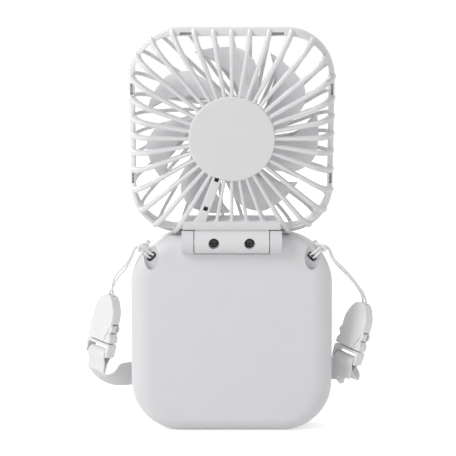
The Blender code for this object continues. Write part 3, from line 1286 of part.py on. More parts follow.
def make_impeller(white, bell_outer, bell_top, parent):
    """Seven blades on a cup that fits over the rotor bell."""
    inner = bell_outer + IMPELLER_HUB_GAP
    outer = inner + IMPELLER_HUB_WALL
    low = MOTOR_BASE + IMPELLER_HUB_START
    face = impeller_face()
    boss_end = bell_top + FIT_GAP
    bore = SHAFT_RADIUS + FIT_GAP
    profile = [
        (outer, low), (outer, face - IMPELLER_HUB_ROUND), (outer - IMPELLER_HUB_ROUND / 3, face - IMPELLER_HUB_ROUND / 3),
        (outer - IMPELLER_HUB_ROUND, face), (bore, face), (bore, boss_end), (IMPELLER_BOSS_RADIUS, boss_end),
        (IMPELLER_BOSS_RADIUS, face - IMPELLER_HUB_WALL), (inner, face - IMPELLER_HUB_WALL), (inner, low),
    ]
    impeller = turned("impeller", profile, finish=white, closed=True, parent=parent)
    middle = (low + face) / 2
    root_radius = outer - IMPELLER_HUB_WALL / 2
    blades = []
    for i in range(BLADE_COUNT):
        angle = math.radians(BLADE_FIRST_DEGREES) - math.tau * i / BLADE_COUNT
        blades.append(solid(f"blade_{i}", blade_rings(angle, root_radius, middle)))
    fuse(impeller, joined("blades", blades, None, parent))


def shaped_plate(name, low, high, shares, half_thickness, finish, parent):
    """A buckle half: a symmetric outline with its edges taken off."""
    points = [(share * BUCKLE_WIDTH / 2, low + along * (high - low)) for along, share in shares]
    outline = points + [(-x, z) for x, z in reversed(points)]
    middle_z = (low + high) / 2
    rings = []
    for y, inset in ((-half_thickness, BUCKLE_BEVEL), (-half_thickness + BUCKLE_BEVEL, 0),
                     (half_thickness - BUCKLE_BEVEL, 0), (half_thickness, BUCKLE_BEVEL)):
        rings.append([
            (x - math.copysign(inset, x), y, z - inset * (z - middle_z) / (high - middle_z)) for x, z in outline
        ])
    return solid(name, rings, finish, parent=parent)


def make_buckle(label, place, lean_degrees, yaw_degrees, white):
    """A socket that hangs on the cord and a clip that holds the ribbon."""
    turn = (Matrix.Rotation(math.radians(lean_degrees), 4, "Y")
            @ Matrix.Rotation(math.radians(yaw_degrees), 4, "Z"))
    frame = pivot(f"{label}_buckle", place, turn)
    half = BUCKLE_THICKNESS / 2
    socket = shaped_plate(f"{label}_buckle_socket", SOCKET_LOW, SOCKET_HIGH, SOCKET_OUTLINE_SHARES, half, white, frame)
    cut(socket, block(
        f"{label}_socket_pocket",
        (-SOCKET_POCKET_HALF_WIDTH, -SOCKET_POCKET_HALF_THICKNESS, SOCKET_LOW - OVERRUN),
        (SOCKET_POCKET_HALF_WIDTH, SOCKET_POCKET_HALF_THICKNESS, SOCKET_POCKET_TOP), parent=frame))
    cut(socket, block(
        f"{label}_socket_windows",
        (-BUCKLE_WIDTH, -SOCKET_POCKET_HALF_THICKNESS, SOCKET_WINDOW_LOW),
        (BUCKLE_WIDTH, SOCKET_POCKET_HALF_THICKNESS, SOCKET_WINDOW_HIGH), parent=frame))
    eye = block(f"{label}_socket_eye", (-SOCKET_EYE_HALF_WIDTH, -SOCKET_EYE_HALF_THICKNESS, SOCKET_EYE_LOW),
                (SOCKET_EYE_HALF_WIDTH, SOCKET_EYE_HALF_THICKNESS, SOCKET_HIGH + OVERRUN), parent=frame)
    cut(eye, rod(f"{label}_socket_bar", SOCKET_BAR_RADIUS, -OVERRUN, OVERRUN, (0, 0, SOCKET_BAR_HEIGHT),
                 parent=frame))
    cut(socket, eye)
    clip_top = SOCKET_LOW - CLIP_TOP_GAP
    clip = shaped_plate(f"{label}_buckle_clip", CLIP_LOW, clip_top, CLIP_OUTLINE_SHARES, half, white, frame)
    slot_low = CLIP_LOW + CLIP_BAR
    cut(clip, block(f"{label}_clip_slot", (-CLIP_SLOT_HALF_WIDTH, -OVERRUN, slot_low),
                    (CLIP_SLOT_HALF_WIDTH, OVERRUN, slot_low + CLIP_SLOT_HEIGHT), parent=frame))
    for side, label_side in ((-1, "back"), (1, "front")):
        ends = sorted((side * CLIP_BAR_HALF_THICKNESS, side * OVERRUN))
        cut(clip, block(f"{label}_clip_{label_side}_step", (-CLIP_SLOT_HALF_WIDTH, ends[0], CLIP_LOW - OVERRUN),
                        (CLIP_SLOT_HALF_WIDTH, ends[1], slot_low + CLIP_SLOT_HEIGHT / 2), parent=frame))
    for side, label_side in ((-1, "left"), (1, "right")):
        fuse(clip, *prong(f"{label}_{label_side}", side, clip_top, frame))
    fuse(clip, block(f"{label}_tongue", (-TONGUE_HALF_WIDTH, -PRONG_HALF_THICKNESS, clip_top - BUCKLE_GAP),
                     (TONGUE_HALF_WIDTH, PRONG_HALF_THICKNESS, TONGUE_TOP), parent=frame))
    return frame


def prong(name, side, clip_top, frame):
    """A springy arm of the clip, and the grip that shows in the socket's side."""
    arm_ends = sorted((side * PRONG_INNER, side * PRONG_OUTER))
    grip_ends = sorted((side * (PRONG_INNER + PRONG_OUTER) / 2, side * PRONG_GRIP_REACH))
    inner = PRONG_HALF_THICKNESS - BUCKLE_GAP / 4
    return (
        block(f"{name}_arm", (arm_ends[0], -PRONG_HALF_THICKNESS, clip_top - BUCKLE_GAP),
              (arm_ends[1], PRONG_HALF_THICKNESS, PRONG_TOP), parent=frame),
        block(f"{name}_grip", (grip_ends[0], -inner, PRONG_GRIP_LOW),
              (grip_ends[1], inner, PRONG_GRIP_HIGH), parent=frame),
    )


def corner_route(side):
    """The hitch's points at one corner of the body."""
    centre, along, out = corner_frame(side)
    return [(centre[0] + along[0] * a + out[0] * b, y, centre[1] + along[1] * a + out[1] * b)
            for a, b, y in CORD_HITCH_ROUTE]


def make_cord_loop(name, side, frame, up, down, finish):
    """A doubled cord whose strands meet under the buckle's bar and hitch round the corner post."""
    start = [frame @ Vector((x, 0, z)) for x, z in CORD_EYE_ROUTE]
    end = [frame @ Vector((-x, 0, z)) for x, z in reversed(CORD_EYE_ROUTE)]
    cord(name, [*start, *up, *corner_route(side), *down, *end], CORD_RADIUS, finish)


def ribbon_route(left, right):
    """Points down the ribbon's middle, from one buckle's bar to the other's."""
    start = [left @ Vector((0, y, z)) for y, z in RIBBON_END_ROUTE]
    finish = [right @ Vector((0, y, z)) for y, z in reversed(RIBBON_END_ROUTE)]
    return [*start, *(Vector(p) for p in RIBBON_BACK_ROUTE), *finish]


def ease(value, low, high):
    t = min(1, max(0, (value - low) / (high - low)))
    return t * t * (3 - 2 * t)


def make_ribbon(left, right, woven):
    """The flat woven ribbon, turned on edge where it passes behind the body."""
    every = smooth_route(ribbon_route(left, right))
    left_across = left.to_3x3() @ Vector((1, 0, 0))
    right_across = right.to_3x3() @ Vector((1, 0, 0))
    upright_across = Vector((0, 0, 1))
    rings = []
    last = len(every) - 1
    for i in kept_places(every):
        point = every[i]
        share = i / last
        tangent = (every[min(i + 1, last)] - every[max(i - 1, 0)]).normalized()
        turn_in = ease(share, RIBBON_TURN_SHARES[0], RIBBON_TURN_SHARES[1])
        turn_out = ease(share, RIBBON_TURN_SHARES[2], RIBBON_TURN_SHARES[3])
        across = left_across.lerp(upright_across, turn_in).lerp(right_across, turn_out)
        across = (across - tangent * across.dot(tangent)).normalized()
        through = tangent.cross(across)
        rings.append([
            point + across * (a * RIBBON_WIDTH / 2) + through * (b * RIBBON_THICKNESS / 2)
            for a, b in ((-1, -1), (1, -1), (1, 1), (-1, 1))
        ])
    return solid("strap_ribbon", rings, woven)


def clear_scene():
    for made in list(bpy.data.objects):
        bpy.data.objects.remove(made)


def build():
    clear_scene()
    white = material("white_shell", (0.82, 0.82, 0.83), 0.42)
    pale = material("white_head", (0.84, 0.84, 0.84), 0.40)
    blade = material("white_blade", (0.72, 0.72, 0.72), 0.45)
    black = material("black_screw", (0.02, 0.02, 0.022), 0.3, 0.8)
    steel = material("steel", (0.62, 0.62, 0.63), 0.3, 1.0)
    grey = material("grey_sleeve", (0.25, 0.25, 0.26), 0.6)
    green = material("board_green", (0.04, 0.22, 0.10), 0.5)
    dark = material("dark_part", (0.05, 0.05, 0.055), 0.5)
    copper = material("copper", (0.72, 0.36, 0.18), 0.35, 1.0)
    blue = material("cell_wrap", (0.10, 0.28, 0.55), 0.4)
    red = material("red_lead", (0.60, 0.05, 0.04), 0.5)
    clear = material("lens", (0.80, 0.85, 0.88), 0.2)
    woven = material("white_ribbon", (0.85, 0.85, 0.86), 0.8)

    make_back_shell(white)
    make_front_shell(white)
    make_board(green, dark, steel)
    make_button_and_lens(white, clear)
    make_battery(blue, red)
    make_body_leads(dark)

    head = pivot("head_pivot", (0, AXIS_Y, AXIS_Z), Matrix.Rotation(HEAD_LEAN, 4, "X"))
    make_back_grille(pale, head)
    make_front_grille(pale, head)
    make_hinge(pale, black, steel, grey, head)
    make_channel(pale, red, head)
    make_motor_base(pale, steel, head)
    make_stator(steel, copper, head)
    spin = pivot("spin_axis", (0, 0, HUB_HEIGHT), parent=head)
    bell_outer, bell_top = make_rotor(steel, dark, steel, spin)
    make_impeller(blade, bell_outer, bell_top, spin)

    left = make_buckle("left", LEFT_BUCKLE_PLACE, LEFT_BUCKLE_LEAN_DEGREES, LEFT_BUCKLE_YAW_DEGREES, white)
    right = make_buckle("right", RIGHT_BUCKLE_PLACE, RIGHT_BUCKLE_LEAN_DEGREES, RIGHT_BUCKLE_YAW_DEGREES, white)
    bpy.context.view_layer.update()
    left_frame, right_frame = left.matrix_world.copy(), right.matrix_world.copy()
    make_cord_loop("left_cord_loop", -1, left_frame, LEFT_CORD_UP, LEFT_CORD_DOWN, woven)
    make_cord_loop("right_cord_loop", 1, right_frame, RIGHT_CORD_UP, RIGHT_CORD_DOWN, woven)
    make_ribbon(left_frame, right_frame, woven)


build()
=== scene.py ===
"""The looks of a folding handheld fan, opened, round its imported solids.

Lengths are in metres, in the frame of the solids: the body stands on z = 0, +X is to the right
for someone who looks at the back of the fan, and +Y runs from its back to its front.
"""

import json
import math

import bmesh
import bpy
from mathutils import Matrix, Vector


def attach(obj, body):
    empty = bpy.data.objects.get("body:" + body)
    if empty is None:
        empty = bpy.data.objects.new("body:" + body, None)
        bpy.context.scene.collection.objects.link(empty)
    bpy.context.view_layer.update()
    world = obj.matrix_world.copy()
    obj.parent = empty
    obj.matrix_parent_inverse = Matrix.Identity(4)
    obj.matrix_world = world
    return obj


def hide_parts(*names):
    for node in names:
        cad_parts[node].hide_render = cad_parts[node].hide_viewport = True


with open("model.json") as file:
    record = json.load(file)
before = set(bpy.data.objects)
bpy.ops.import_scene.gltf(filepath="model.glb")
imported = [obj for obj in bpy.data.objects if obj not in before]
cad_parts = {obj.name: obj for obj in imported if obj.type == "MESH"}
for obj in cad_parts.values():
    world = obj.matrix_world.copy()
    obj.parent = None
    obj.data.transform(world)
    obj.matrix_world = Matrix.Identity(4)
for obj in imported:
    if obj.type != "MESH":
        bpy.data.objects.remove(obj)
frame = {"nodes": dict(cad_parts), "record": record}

# Camera, floor and light
CAMERA_TARGET = (-0.0015, 0, 0.0824)
CAMERA_DISTANCE = 0.660
CAMERA_ELEVATION_DEGREES = 7
CAMERA_LENS = 127
CAMERA_SENSOR = 36
FLOOR_SIZE = 6
FLOOR_DROP = 0.0001
FLOOR_COLOUR = (0.88, 0.88, 0.88)
FLOOR_ROUGHNESS = 0.9
FLOOR_GLOW = 0.51
WORLD_LIGHT = 0.58
LIGHT_TARGET = (0, 0, 0.08)
# Each lamp's place, size and power
LAMPS = {
    "key": ((-1.00, -0.62, 0.85), 0.55, 9.1),
    "fill": ((1.05, -0.40, 0.35), 0.60, 0.6),
    "front": ((-0.50, 1.05, 0.75), 0.60, 4.4),
}

# The body
BODY_WIDTH = 0.082
BODY_HEIGHT = 0.0805
BODY_DEPTH = 0.026
BODY_CORNER = 0.020
BACK_SIDE_FILLET = 0.0085
BACK_END_FILLET = 0.0055
BACK_FILLET_DEPTH = 0.006
FRONT_FILLET = 0.005
FRONT_FILLET_DEPTH = 0.006
PARTING_SETBACK = 0.0115
TUNNEL_INSET = 0.0038
WALL = 0.002
FIT_GAP = 0.0003
OVERRUN = 0.004
TUNNEL_LENGTH = 0.0046
TUNNEL_HEIGHT = 0.0025
TUNNEL_WALL = 0.0018
POCKET_HALF_WIDTH = 0.0030
POCKET_HALF_HEIGHT = 0.0051
POCKET_DEPTH = 0.0032
BOARD_BACK = 0.0062
PORT_WIDTH = 0.0090
PORT_THICKNESS = 0.0032
BUTTON_RADIUS = 0.0055
BUTTON_PROUD = 0.0004
BUTTON_FLANGE = 0.0009
BUTTON_FLANGE_THICKNESS = 0.0007
BUTTON_DISH = 0.0005
BUTTON_HEIGHT_ON_BODY = 0.0315
LENS_HALF_WIDTH = 0.005
LENS_HALF_HEIGHT = 0.0008
LENS_HEIGHT_ON_BODY = 0.0405
CELL_LENGTH = 0.065
CELL_HEIGHT = 0.054
BOARD_WIDTH = 0.038
BOARD_HIGH = 0.042
SHELL_EDGE = 0.00035

# The head and the hinge
HEAD_WIDTH = 0.082
HEAD_HEIGHT = 0.0832
HEAD_DEPTH = 0.026
HEAD_CORNER = 0.019
HEAD_LOW = 0.0007
HEAD_LEAN_DEGREES = 10
HINGE_DROP = 0.0022
FACE_GAP = 0.0004
BARREL_RADIUS = 0.0046
CENTRE_KNUCKLE_HALF = 0.0150
BARREL_HALF = 0.0201
WELL_CLEARANCE = 0.0004
HINGE_SCREW_SPACING = 0.0143
HINGE_SCREW_LIFT = 0.0005
SCREW_HEAD_RADIUS = 0.0019
SCREW_HEAD_HEIGHT = 0.0011
SCREW_RECESS_DEPTH = 0.0027
SCREW_SHANK_RADIUS = 0.0008
SCREW_CROWN_DEGREES = 30
HINGE_SCREW_LENGTH = 0.0062
CROSS_ARM = 0.00125
CROSS_WIDTH = 0.00042
CROSS_DEPTH = 0.00085
CROSS_TAPER_SHARE = 0.45
SQUARE_SHARES = ((-1, -1), (1, -1), (1, 1), (-1, 1))
BRACKET_HALF = 0.0196
BRACKET_TOP = 0.0084
BRACKET_LOW = 0.0018
BRACKET_DEPTH = 0.0095
BRACKET_SETBACK = 0.0002
BRACKET_EDGE = 0.00045
COVER_EDGE = 0.00015

# The head's rear grille
HUB_RADIUS = 0.0172
HUB_THICKNESS = 0.0022
HUB_EDGE = 0.0006
RIM_PLANE = 0.0125
RIM_WIDTH = 0.0020
RIM_HEIGHT = 0.0032
RIM_EDGE = 0.0003
RIB_COUNT = 36
RIB_FILLET = 0.009
RIB_PROUD = 0.0003
RIB_DEPTH = 0.0024
RIB_SETBACK = 0.00035
RIB_WIDTH = 0.00145
RIB_FOOT_WIDTH = 0.0021
RIB_ROOT = 0.0009
RIB_FOOT_IN_BRACKET = 0.0015
RIB_WEB = 0.0009
CHANNEL_RIB_DEGREES = 250
CHANNEL_RIB_WIDTH = 0.0039
CHANNEL_RIB_DEPTH = 0.0036
CHANNEL_WIDTH = 0.0025
CHANNEL_SKIN = 0.001
CHANNEL_END_HEIGHT = 0.0062
WINDOW_SIZE = 0.0018
WINDOW_DISTANCES = (0.0176, 0.0304)
LATCH_LENGTH = 0.0046
LATCH_OFFSET = 0.0182
LATCH_INSET = 0.00115
LATCH_THICKNESS = 0.0010
TAB_HEIGHT = 0.0014
TAB_ROOT = 0.0008
MOTOR_LEAD_RADIUS = 0.0004
MOTOR_LEAD_SPACING = 0.0011

# The head's front grille
GRILLE_FILLET = 0.0070
GRILLE_FILLET_DEPTH = 0.0070
GRILLE_EDGE = 0.0006
GRILLE_HUB_RADIUS = 0.011
GRILLE_HUB_THICKNESS = 0.0028
GRILLE_HUB_RECESS = 0.0003
SLANT_COUNT = 31
SLANT_OFFSET = 0.0075
SLANT_WIDTH = 0.0014
SLANT_DEPTH = 0.0016
SLANT_INSET = 0.00025
SLANT_FOOT = 0.0010

# The impeller, on a cup that starts above the hub disc's inner face
BLADE_COUNT = 7
BLADE_TIP_RADIUS = 0.035
BLADE_FIRST_DEGREES = 97.2
BLADE_SWEEP_DEGREES = 36
BLADE_ROOT_ARC_DEGREES = 28
BLADE_TIP_ARC_DEGREES = 36
BLADE_THICKNESS = 0.0011
BLADE_EDGE_SHARE = 0.45
BLADE_ROOT_PITCH = 0.0118
BLADE_TIP_PITCH = 0.0070
BLADE_TIP_ROUND = 0.004
BLADE_TIP_POWER = 8
BLADE_ROUND_SHARE = 0.25
BLADE_CAMBER_SHARE = 0.25
BLADE_SHIFT_SHARE = 0.25
BLADE_ROWS = 14
BLADE_COLUMNS = 18
CUP_START = 0.003
CUP_LENGTH = 0.013
CUP_INNER = 0.0124
CUP_WALL = 0.0013
CUP_ROUND = 0.0015
CUP_BORE = 0.0011

# Smoothness
CORNER_STEPS = 20
FILLET_STEPS = 12
INNER_STEPS = 4
RIB_STEPS = 12
WEB_STEPS = 5
EDGE_STEPS = 3
ROUND_STEPS = 6
SPLINE_STEPS = 8
REACH_HALVINGS = 40
ROUND_SEGMENTS = 96
SMALL_SEGMENTS = 32
SHARP_DEGREES = 38
BAR_SHARP_DEGREES = 50
BEVEL_DEGREES = 40
# A rib's section: shares of its depth, from the side that is seen, and of its half width
RIB_SECTION_SHARES = (
    (1, -1), (0.62, -1), (0.36, -0.96), (0.17, -0.84), (0.05, -0.62), (0, -0.30),
    (0, 0.30), (0.05, 0.62), (0.17, 0.84), (0.36, 0.96), (0.62, 1), (1, 1),
)
WIDE_SECTION_SHARES = (
    (1, -1), (0.30, -1), (0.13, -0.97), (0.04, -0.90), (0, -0.80),
    (0, 0.80), (0.04, 0.90), (0.13, 0.97), (0.30, 1), (1, 1),
)

# The strap
CORD_RADIUS = 0.00048
CORD_SIDES = 12
CORD_STEP = 0.0003
RIBBON_WIDTH = 0.0100
RIBBON_THICKNESS = 0.0008
RIBBON_STEP = 0.0005
LEFT_BUCKLE_PLACE = (-0.0521, -0.0020, 0.0425)
LEFT_BUCKLE_LEAN_DEGREES = 11.3
LEFT_BUCKLE_YAW_DEGREES = -43
RIGHT_BUCKLE_PLACE = (0.0509, -0.0010, 0.0392)
RIGHT_BUCKLE_LEAN_DEGREES = 16.2
RIGHT_BUCKLE_YAW_DEGREES = -45

# The buckles: a socket on the cord, and a clip with two springy prongs on the ribbon
BUCKLE_WIDTH = 0.0134
BUCKLE_THICKNESS = 0.0048
BUCKLE_EDGE = 0.0006
BUCKLE_FINE_EDGE = 0.00025
BUCKLE_STEP = 0.0004
BUCKLE_GAP = 0.0004
SOCKET_LOW = -0.0064
SOCKET_HIGH = 0.0128
SOCKET_POCKET_HALF_WIDTH = 0.0047
SOCKET_POCKET_HALF_THICKNESS = 0.0014
SOCKET_POCKET_TOP = 0.0072
SOCKET_WINDOW_LOW = -0.0026
SOCKET_WINDOW_HIGH = 0.0016
SOCKET_EYE_HALF_WIDTH = 0.0020
SOCKET_EYE_HALF_THICKNESS = 0.0008
SOCKET_EYE_LOW = 0.0080
SOCKET_BAR_HEIGHT = 0.0100
SOCKET_BAR_RADIUS = 0.0004
SLIT_DEPTH = 0.0004
CLIP_LOW = -0.0126
CLIP_BAR = 0.0018
CLIP_BAR_HALF_THICKNESS = 0.0009
CLIP_SLOT_HEIGHT = 0.0028
CLIP_SLOT_HALF_WIDTH = 0.0054
PRONG_INNER = 0.0026
PRONG_OUTER = 0.0041
PRONG_HALF_THICKNESS = 0.0010
PRONG_TOP = 0.0066
PRONG_GRIP_LOW = -0.0021
PRONG_GRIP_HIGH = 0.0011
PRONG_GRIP_REACH = 0.0062
TONGUE_HALF_WIDTH = 0.0009
TONGUE_TOP = 0.0050
# Shares of a buckle half's length and of its half width, from its low end to its high end
SOCKET_OUTLINE_SHARES = (
    (0.0, 0.96), (0.06, 0.99), (0.12, 0.97), (0.165, 0.88), (0.20, 0.83), (0.235, 0.90),
    (0.27, 0.98), (0.31, 1.0), (0.35, 0.98), (0.385, 0.90), (0.42, 0.87), (0.505, 0.89),
    (0.615, 0.87), (0.695, 0.82), (0.78, 0.72), (0.905, 0.53), (0.975, 0.34), (1.0, 0.20),
)
CLIP_OUTLINE_SHARES = (
    (0.0, 0.92), (0.19, 0.97), (0.45, 0.985), (0.70, 1.0), (0.90, 0.99), (1.0, 0.96),
)
# A slanted slit on the socket's face: width and height places, and half the slit's width there
SLIT_PLACES = (
    (0.0056, 0.0010, 0.00005), (0.0049, -0.0010, 0.00015), (0.0042, -0.0030, 0.00038),
    (0.0036, -0.0046, 0.00034), (0.0032, -0.0058, 0.00010),
)

# Routes given point by point. The hitch is written for the left corner: how far along the corner,
# how far out of it, and y. Both strands leave it through the loop that it ends in.
CORD_HITCH_ROUTE = (
    (-0.0076, 0.0056, -0.0100), (-0.0052, 0.0063, -0.0104), (-0.0026, 0.0073, -0.0106),
    (-0.0006, 0.0069, -0.0106), (0.0002, 0.0054, -0.0106), (0.0005, 0.0036, -0.0110),
    (0.0008, 0.0017, -0.0111), (0.0009, 0.0005, -0.0101), (0.0009, 0.0000, -0.0070),
    (0.0009, 0.0000, 0.0000), (0.0009, 0.0000, 0.0075), (0.0009, 0.0006, 0.0112),
    (0.0009, 0.0024, 0.0124), (0.0009, 0.0042, 0.0108), (0.0009, 0.0047, 0.0072),
    (0.0009, 0.0047, 0.0000), (0.0009, 0.0047, -0.0060), (0.0015, 0.0050, -0.0086),
    (0.0018, 0.0055, -0.0108), (0.0012, 0.0063, -0.0122), (0.0001, 0.0066, -0.0127),
    (-0.0013, 0.0060, -0.0122), (-0.0019, 0.0053, -0.0108), (-0.0017, 0.0049, -0.0086),
    (-0.0009, 0.0047, -0.0060), (-0.0009, 0.0047, 0.0000), (-0.0009, 0.0047, 0.0072),
    (-0.0009, 0.0042, 0.0108), (-0.0009, 0.0024, 0.0124), (-0.0009, 0.0006, 0.0112),
    (-0.0009, 0.0000, 0.0075), (-0.0009, 0.0000, 0.0000), (-0.0009, 0.0000, -0.0070),
    (-0.0009, 0.0005, -0.0101), (-0.0008, 0.0017, -0.0111), (-0.0008, 0.0036, -0.0110),
    (-0.0009, 0.0052, -0.0097), (-0.0015, 0.0064, -0.0092), (-0.0030, 0.0069, -0.0091),
    (-0.0052, 0.0058, -0.0089), (-0.0076, 0.0050, -0.0086),
)
LEFT_CORD_UP = (
    (-0.0489, -0.0042, 0.0584), (-0.0482, -0.0062, 0.0614), (-0.0466, -0.0082, 0.0648),
    (-0.0442, -0.0094, 0.0674),
)
LEFT_CORD_DOWN = (
    (-0.0432, -0.0076, 0.0666), (-0.0458, -0.0058, 0.0636), (-0.0479, -0.0034, 0.0600),
)
RIGHT_CORD_UP = (
    (0.0541, -0.0034, 0.0556), (0.0517, -0.0056, 0.0592), (0.0487, -0.0076, 0.0632),
    (0.0454, -0.0092, 0.0670),
)
RIGHT_CORD_DOWN = (
    (0.0444, -0.0076, 0.0666), (0.0480, -0.0060, 0.0630), (0.0511, -0.0038, 0.0590),
    (0.0534, -0.0016, 0.0552),
)
# A strand's way out from under the buckle's bar, as width and height places in the buckle's frame
CORD_EYE_ROUTE = (
    (0.00015, 0.0088), (0.00085, 0.00915), (0.0012, 0.0100), (0.00115, 0.0110), (0.00095, 0.0122),
    (0.0009, 0.0136),
)
# The ribbon's ends are written in the buckle's own frame, as thickness and height places.
RIBBON_END_ROUTE = (
    (-0.00058, -0.0190), (-0.00060, -0.0165), (-0.0011, -0.0146), (-0.0018, -0.0130),
    (-0.0020, -0.0117), (-0.0016, -0.0104), (0.0000, -0.0096), (0.0016, -0.0104),
    (0.0020, -0.0117), (0.0018, -0.0130), (0.0011, -0.0146), (0.00060, -0.0165),
)
RIBBON_BACK_ROUTE = (
    (-0.0556, -0.0002, 0.0230), (-0.0540, 0.0036, 0.0204), (-0.0508, 0.0084, 0.0190),
    (-0.0458, 0.0126, 0.0186), (-0.0400, 0.0148, 0.0188), (-0.0300, 0.0155, 0.0186),
    (-0.0150, 0.0159, 0.0180), (0.0000, 0.0160, 0.0178), (0.0150, 0.0159, 0.0184),
    (0.0290, 0.0155, 0.0200), (0.0380, 0.0151, 0.0208), (0.0440, 0.0142, 0.0210),
    (0.0476, 0.0114, 0.0206), (0.0486, 0.0072, 0.0198), (0.0484, 0.0028, 0.0198),
)
# Where along the ribbon it turns on edge, and where it turns back
RIBBON_TURN_IN_SHARES = (0.14, 0.26)
RIBBON_TURN_OUT_SHARES = (0.775, 0.885)
# The ribbon's section: shares of its half width and of its half thickness
RIBBON_SECTION_SHARES = (
    (-1, 0), (-0.97, 0.6), (-0.92, 0.92), (-0.86, 0.80), (0, 0.76), (0.86, 0.80),
    (0.92, 0.92), (0.97, 0.6), (1, 0), (0.97, -0.6), (0.92, -0.92), (0.86, -0.80),
    (0, -0.76), (-0.86, -0.80), (-0.92, -0.92), (-0.97, -0.6),
)

# The leads
BODY_LEAD_RADIUS = 0.0005
BODY_LEAD_SPACING = 0.0014
# The hinge leads run from above the board's top, and under the hinge, to below its axis.
BODY_LEAD_START_ROUTE = (
    (-0.0060, 0.0056, 0.0008), (-0.0060, 0.0020, 0.0016), (-0.0060, -0.0050, 0.0018),
)
BODY_LEAD_END_ROUTE = (
    (-0.0060, -0.0092, -0.0321), (-0.0060, -0.0099, -0.0263), (-0.0060, -0.0099, -0.0183),
    (-0.0060, -0.0094, -0.0115), (-0.0060, -0.0088, -0.0083),
)
# The cell's leads: past its end, y and below its middle, then past the board's side and
# below its top.
CELL_LEAD_START_ROUTE = (
    (0.0013, 0.0006, 0.0000), (0.0021, 0.0012, -0.0060), (0.0005, 0.0030, -0.0120),
)
CELL_LEAD_END_ROUTE = ((0.0080, 0.0044, -0.0050), (0.0025, 0.0050, -0.0070))

# Colours, roughnesses and metal shares of the plain finishes, by material slot
FINISHES = {
    "white_shell": ((0.72, 0.72, 0.735), 0.42, 0),
    "white_head": ((0.75, 0.75, 0.762), 0.40, 0),
    # The blades' white is painted lighter than the head's, as painted light on blades shaded inside the head.
    "white_blade": ((0.93, 0.93, 0.94), 0.45, 0),
    "white_buckle": ((0.80, 0.80, 0.81), 0.28, 0),
    "black_screw": ((0.06, 0.06, 0.065), 0.28, 0.9),
    "steel": ((0.62, 0.62, 0.63), 0.32, 1),
    "magnet": ((0.08, 0.08, 0.085), 0.5, 0.6),
    "copper": ((0.72, 0.36, 0.18), 0.35, 1),
    "grey_sleeve": ((0.25, 0.25, 0.26), 0.6, 0),
    "board_green": ((0.04, 0.22, 0.10), 0.4, 0),
    "dark_part": ((0.05, 0.05, 0.055), 0.5, 0),
    "red_lead": ((0.60, 0.05, 0.04), 0.45, 0),
    "cell_wrap": ((0.10, 0.28, 0.55), 0.35, 0),
    "lens": ((0.80, 0.85, 0.88), 0.2, 0),
}
NOISE_DETAIL = 3
MOTTLE_SCALE = 90
MOTTLE_DARK_SHARE = 0.975
MOTTLE_LIGHT_SHARE = 1.02
GRAIN_SCALE = 2600
GRAIN_DEPTH = 0.00002
GRAIN_STRENGTH = 0.5
GLOSS_SPREAD = 0.12
CORD_PICK = 0.0009
CORD_CARRIERS = 8
WEAVE_PITCH = 0.0005
# Colour, its share in the painted shade of the hollows between threads, roughness, sheen, depth and strength
# of the relief
CORD_FINISH = ((0.93, 0.93, 0.94), 0.88, 0.75, 0.25, CORD_RADIUS / 6, 0.6)
RIBBON_FINISH = ((0.90, 0.90, 0.91), 0.84, 0.8, 0.3, RIBBON_THICKNESS / 8, 0.7)

# Worked out from the sizes above
BACK = -BODY_DEPTH / 2
FRONT = BODY_DEPTH / 2
PARTING = FRONT - PARTING_SETBACK
AXIS_Y = BACK - FACE_GAP
AXIS_Z = BODY_HEIGHT - HINGE_DROP
HEAD_BACK = FACE_GAP
RIB_FACE = HEAD_BACK + RIB_SETBACK
HUB_HEIGHT = HEAD_LOW + HEAD_HEIGHT / 2
WELL_RADIUS = BARREL_RADIUS + WELL_CLEARANCE
MOTOR_BASE = HEAD_BACK + HUB_THICKNESS + FIT_GAP
BODY_OUTLINE = (BODY_WIDTH / 2, 0, BODY_HEIGHT, BODY_CORNER)
HEAD_OUTLINE = (HEAD_WIDTH / 2, HEAD_LOW, HEAD_LOW + HEAD_HEIGHT, HEAD_CORNER)
HEAD_TURN = Matrix.Rotation(math.radians(HEAD_LEAN_DEGREES), 4, "X")
HEAD_FRAME = Matrix.Translation((0, AXIS_Y, AXIS_Z)) @ HEAD_TURN
DIAGONAL_SHARE = math.sqrt(0.5)
BACK_FILLETS = (BACK_SIDE_FILLET, BACK_END_FILLET, BACK_FILLET_DEPTH)
FRONT_FILLETS = (FRONT_FILLET, FRONT_FILLET, FRONT_FILLET_DEPTH)
SIDES = ((-1, "left"), (1, "right"))
# The pieces of these bodies are made in the head's own frame.
HEAD_BODIES = ("head", "rotor")


def new_node(tree, kind, **inputs):
    made = tree.nodes.new(kind)
    for name, value in inputs.items():
        made.inputs[name.replace("_", " ")].default_value = value
    return made


def noise(tree, coordinates, scale):
    made = new_node(tree, "ShaderNodeTexNoise", Scale=scale, Detail=NOISE_DETAIL)
    tree.links.new(coordinates, made.inputs["Vector"])
    return made.outputs["Fac"]


def arithmetic(tree, operation, *values):
    made = tree.nodes.new("ShaderNodeMath")
    made.operation = operation
    for socket, value in zip(made.inputs, values, strict=False):
        if isinstance(value, bpy.types.NodeSocket):
            tree.links.new(value, socket)
        else:
            socket.default_value = value
    return made.outputs["Value"]


def blend_colours(tree, share, first, second):
    made = tree.nodes.new("ShaderNodeMix")
    made.data_type = "RGBA"
    tree.links.new(share, made.inputs["Factor"])
    made.inputs["A"].default_value = (*first, 1)
    made.inputs["B"].default_value = (*second, 1)
    return made.outputs["Result"]


def relief(tree, shader, height, distance, strength):
    bump = new_node(tree, "ShaderNodeBump", Strength=strength, Distance=distance)
    tree.links.new(height, bump.inputs["Height"])
    tree.links.new(bump.outputs["Normal"], shader.inputs["Normal"])


def empty_finish(name):
    made = bpy.data.materials.new(name)
    made.use_nodes = True
    tree = made.node_tree
    return made, tree, tree.nodes["Principled BSDF"]


